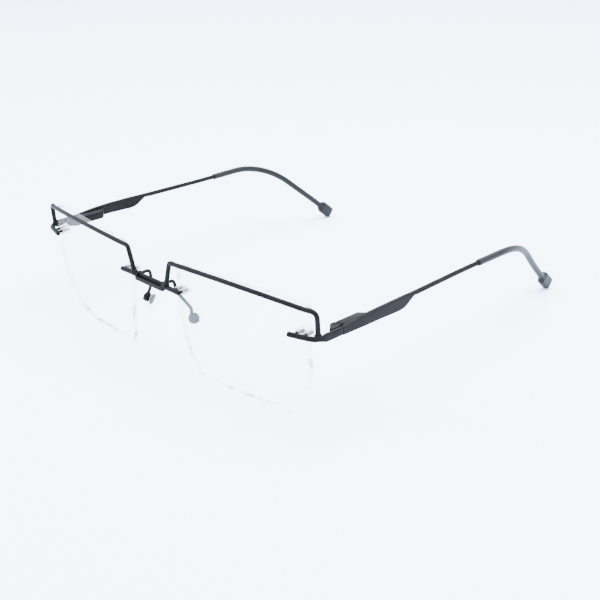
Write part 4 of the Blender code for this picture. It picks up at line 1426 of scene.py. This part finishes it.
@dataclass
class Hinge:
    """The small fittings of the spring hinge."""

    layout: Layout
    spring_turns: int = 5
    spring_wire: float = 0.25 * MM
    spring_radius: float = 0.625 * MM

    def spring(self, side: Side) -> Array:
        """A helix about the slider's rod: x and z go round a circle as y moves along.

        Args:
            side: The side whose frame node gives the coil's ends.

        Returns:
            The surface's grid.
        """
        low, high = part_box(f"hinge_spring_{side.tag}")
        turn = np.linspace(0, 2 * np.pi * self.spring_turns, self.spring_turns * 24 + 1)
        edge = self.spring_wire / 2
        y = low.y + edge + (high.y - low.y - 2 * edge) * turn / turn[-1]
        x = float(self.layout.hinge[0]) + self.spring_radius * np.cos(turn)
        z = float(self.layout.hinge[2]) + self.spring_radius * np.sin(turn)
        size = np.full(len(turn), edge)
        return sweep(np.stack([x, y, z], axis=1), superellipse(size, size, 1.0, 10), (0, 1, 0))

    def build(self, fitter: Fitter, side: Side) -> None:
        """Breaks the edges of the machined pieces and winds the spring.

        Args:
            fitter: What puts the pieces on the frame.
            side: The side to make.
        """
        tag = side.tag
        metal, steel = fitter.palette.metal, fitter.palette.steel
        fitter.softened(f"hinge_fork_{tag}", metal, "front", 0.12 * MM, f"hinge_knuckles_{tag}")
        fitter.softened(f"hinge_screw_{tag}", metal, "front", 0.05 * MM, f"hinge_screw_slotted_{tag}")
        fitter.softened(f"hinge_slider_{tag}", steel, f"slider_{tag}", 0.05 * MM, f"hinge_tongue_{tag}")
        fitter.softened(f"spring_housing_{tag}", metal, f"temple_{tag}", 0.1 * MM, f"spring_box_{tag}")
        fitter.softened(f"spring_collar_{tag}", steel, f"temple_{tag}", 0.05 * MM, f"spring_ring_{tag}")
        coil = mesh_of("coil", self.spring(side), side)
        fitter.dress(coil, f"coil_{tag}", steel, f"temple_{tag}", (f"hinge_spring_{tag}",))


@dataclass
class NosePad:
    """A nose pad on its bent wire, with its box, screw and plate."""

    layout: Layout
    bridge: Bridge
    facing: tuple[float, float, float] = (-0.80, 0.42, -0.33)
    wire_radius: float = 0.575 * MM
    box_half: float = 1.35 * MM
    length: float = 13.0 * MM
    width: float = 7.2 * MM
    thickness: float = 2.2 * MM
    back: float = 1.5625 * MM

    def axes(self) -> tuple[Array, Array, Array]:
        """The rocking axis, the pad's upward direction and the way it faces.

        Returns:
            Three directions at right angles.
        """
        facing = unit(np.array(self.facing))
        up = unit(np.array([0, 0, 1.0]) - facing * facing[2])
        return np.cross(up, facing), up, facing

    def pad(self) -> Array:
        """A teardrop cushion: from the back's middle over a round rim to the crowned front.

        The outline is a cos(t) (1 - 0.18 sin(t)) across and b sin(t) up. Each row scales it and sets its
        height: the rim is a half circle, and the front rises by the square root of 1 less the scale squared.

        Returns:
            The surface's grid.
        """
        across, up, facing = self.axes()
        rim = np.linspace(-np.pi / 2, np.pi / 2, 13)
        round_off = 0.13
        scale = np.concatenate([np.linspace(0.05, 0.86, 8), 1 - round_off + round_off * np.cos(rim)])
        height = np.concatenate([np.zeros(8), 0.25 + 0.25 * np.sin(rim)])
        crown = np.linspace(1 - round_off, 0.04, 12)[1:]
        scale = np.concatenate([scale, crown])
        height = np.concatenate([height, 0.5 + 0.5 * np.sqrt(1 - (crown / (1 - round_off)) ** 2)])
        t = np.arange(64) / 64 * 2 * np.pi
        x = self.width / 2 * np.cos(t) * (1 - 0.18 * np.sin(t))
        y = self.length / 2 * np.sin(t)
        flat = scale[:, None, None] * (x[None, :, None] * across + y[None, :, None] * up)
        return self.layout.pad_centre + flat + (self.back + height * self.thickness)[:, None, None] * facing

    def wire(self) -> Array:
        """The bent wire from the back of the bridge down to the box, thicker where it is soldered.

        Returns:
            The surface's grid.
        """
        across, up, _ = self.axes()
        half = self.bridge.length / 2
        behind = self.bridge.y + self.layout.arm_radius
        root = np.array([half - 1.0 * MM, behind + 0.15 * MM, self.layout.mount + 0.4 * MM])
        landing = self.layout.pad_centre + across * 1.0 * MM + up * self.box_half
        corners = [
            (root - np.array([0, 0.5, 0]) * MM, 0),
            (root + np.array([0, 3.6, 0.2]) * MM, 1.4 * MM),
            (root + np.array([0.3, 4.5, -4.2]) * MM, 3.0 * MM),
            (landing + up * 2.0 * MM - across * 0.3 * MM, 1.5 * MM),
            (landing - up * 0.1 * MM, 0),
        ]
        path = rounded(corners, 14)
        total = lengths_along(path)[-1]
        spots = packed_ends(total, 0.25 * MM, 1.0 * MM)
        line = softened_path(at_lengths(path, spots), 2)
        flare = 0.35 * MM * np.exp(-np.clip(spots - 0.5 * MM, 0, None) / (0.25 * MM))
        size = (self.wire_radius + flare) * dome(spots, self.wire_radius)
        return sweep(line, superellipse(size, size, 1.0, 24), (1, 0, 0))

    def build(self, fitter: Fitter, side: Side) -> None:
        """Makes the pad, its plate, box and screw, and the wire.

        Args:
            fitter: What puts the pieces on the frame.
            side: The side to make.
        """
        tag = side.tag
        metal = fitter.palette.metal
        wire = mesh_of("wire", self.wire(), side)
        fitter.dress(wire, f"pad_wire_{tag}", metal, "front", (f"pad_arm_{tag}",))
        fitter.softened(f"pad_box_{tag}", metal, "front", 0.08 * MM, f"pad_holder_{tag}")
        fitter.softened(f"pad_screw_{tag}", metal, "front", 0.04 * MM, f"pad_pin_{tag}")
        fitter.softened(f"pad_insert_{tag}", metal, f"pad_{tag}", 0.08 * MM, f"pad_plate_{tag}")
        mesh, silicone = mesh_of("pad", self.pad(), side), fitter.palette.silicone
        pad = fitter.dress(mesh, f"silicone_pad_{tag}", silicone, f"pad_{tag}", (f"nose_pad_{tag}",))


# ---------------------------------------------------------------- stage


@dataclass
class Studio:
    """A plain pale floor, soft lights and the camera."""

    layout: Layout
    focal: float = 65.42
    camera_at: tuple[float, float, float] = (266.1 * MM, -197.696 * MM, 168.2 * MM)
    look_at: tuple[float, float, float] = (11.95 * MM, 57.204 * MM, 8.29 * MM)
    floor_half: float = 6.0
    sky: tuple[float, float, float] = (0.73, 0.84, 1.0)
    sky_strength: float = 5.6

    def floor(self, palette: Palette) -> None:
        """A big flat sheet just under the glasses.

        Args:
            palette: The finishes.
        """
        corners = np.array([[-1, -1], [1, -1], [1, 1], [-1, 1]]) * self.floor_half
        mesh = bpy.data.meshes.new("table_top")
        mesh.from_pydata([(x, y, 0.0) for x, y in corners.tolist()], [], [(0, 1, 2, 3)])
        mesh.materials.append(palette.of(palette.floor))
        top = bpy.data.objects.new("table_top", mesh)
        bpy.context.scene.collection.objects.link(top)

    def light(self, name: str, place: tuple[float, float, float], size: float, power: float) -> None:
        """A square soft light that faces the glasses.

        Args:
            name: Its name.
            place: Where it hangs.
            size: The length of its side.
            power: Its power in watts.
        """
        lamp = bpy.data.lights.new(name, "AREA")
        lamp.size = size
        lamp.energy = power
        lamp.color = (0.97, 0.98, 1.0)
        made = bpy.data.objects.new(name, lamp)
        bpy.context.scene.collection.objects.link(made)
        made.location = place
        made.rotation_euler = (Vector((0, 0, 0.02)) - Vector(place)).to_track_quat("-Z", "Y").to_euler()

    def build(self, palette: Palette) -> None:
        """Sets the floor, the sky, the lights and the camera.

        Args:
            palette: The finishes.
        """
        self.floor(palette)
        world = bpy.data.worlds.new("sky")
        world.use_nodes = True
        back = world.node_tree.nodes["Background"]
        back.inputs[0].default_value = (*self.sky, 1.0)
        back.inputs[1].default_value = self.sky_strength
        bpy.context.scene.world = world
        self.light("top_light", (0.05, 0.15, 0.9), 0.9, 54.0)
        self.light("side_light", (-0.7, -0.5, 0.6), 0.7, 12.0)
        lens = bpy.data.cameras.new("camera")
        lens.lens = self.focal
        lens.clip_start = 0.01
        camera = bpy.data.objects.new("camera", lens)
        bpy.context.scene.collection.objects.link(camera)
        shift = Vector((0, self.layout.shift, 0))
        camera.location = Vector(self.camera_at) + shift
        aim = Vector(self.look_at) + shift - camera.location
        camera.rotation_euler = aim.to_track_quat("-Z", "Y").to_euler()
        bpy.context.scene.camera = camera


def main() -> None:
    """Builds every sub-assembly in order, then the stage."""
    logging.basicConfig(level=logging.INFO, format="%(message)s")
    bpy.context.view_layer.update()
    layout = Layout.read()
    fitter = Fitter(Palette())
    lens = Lens(layout)
    bushings = Bushings(layout, lens)
    bridge = Bridge(layout, lens, bushings)
    bridge.build(fitter)
    end_piece = EndPiece(layout, lens, bridge)
    for side in Side:
        lens.build(fitter, side)
        bushings.build(fitter, side)
        end_piece.build(fitter, side)
        BrowWire(layout, lens, bridge, end_piece).build(fitter, side)
        Temple(layout).build(fitter, side)
        Hinge(layout).build(fitter, side)
        NosePad(layout, bridge).build(fitter, side)
    Studio(layout).build(fitter.palette)
    log.info("%d pieces", fitter.count)


if __name__ == "__main__":
    main()
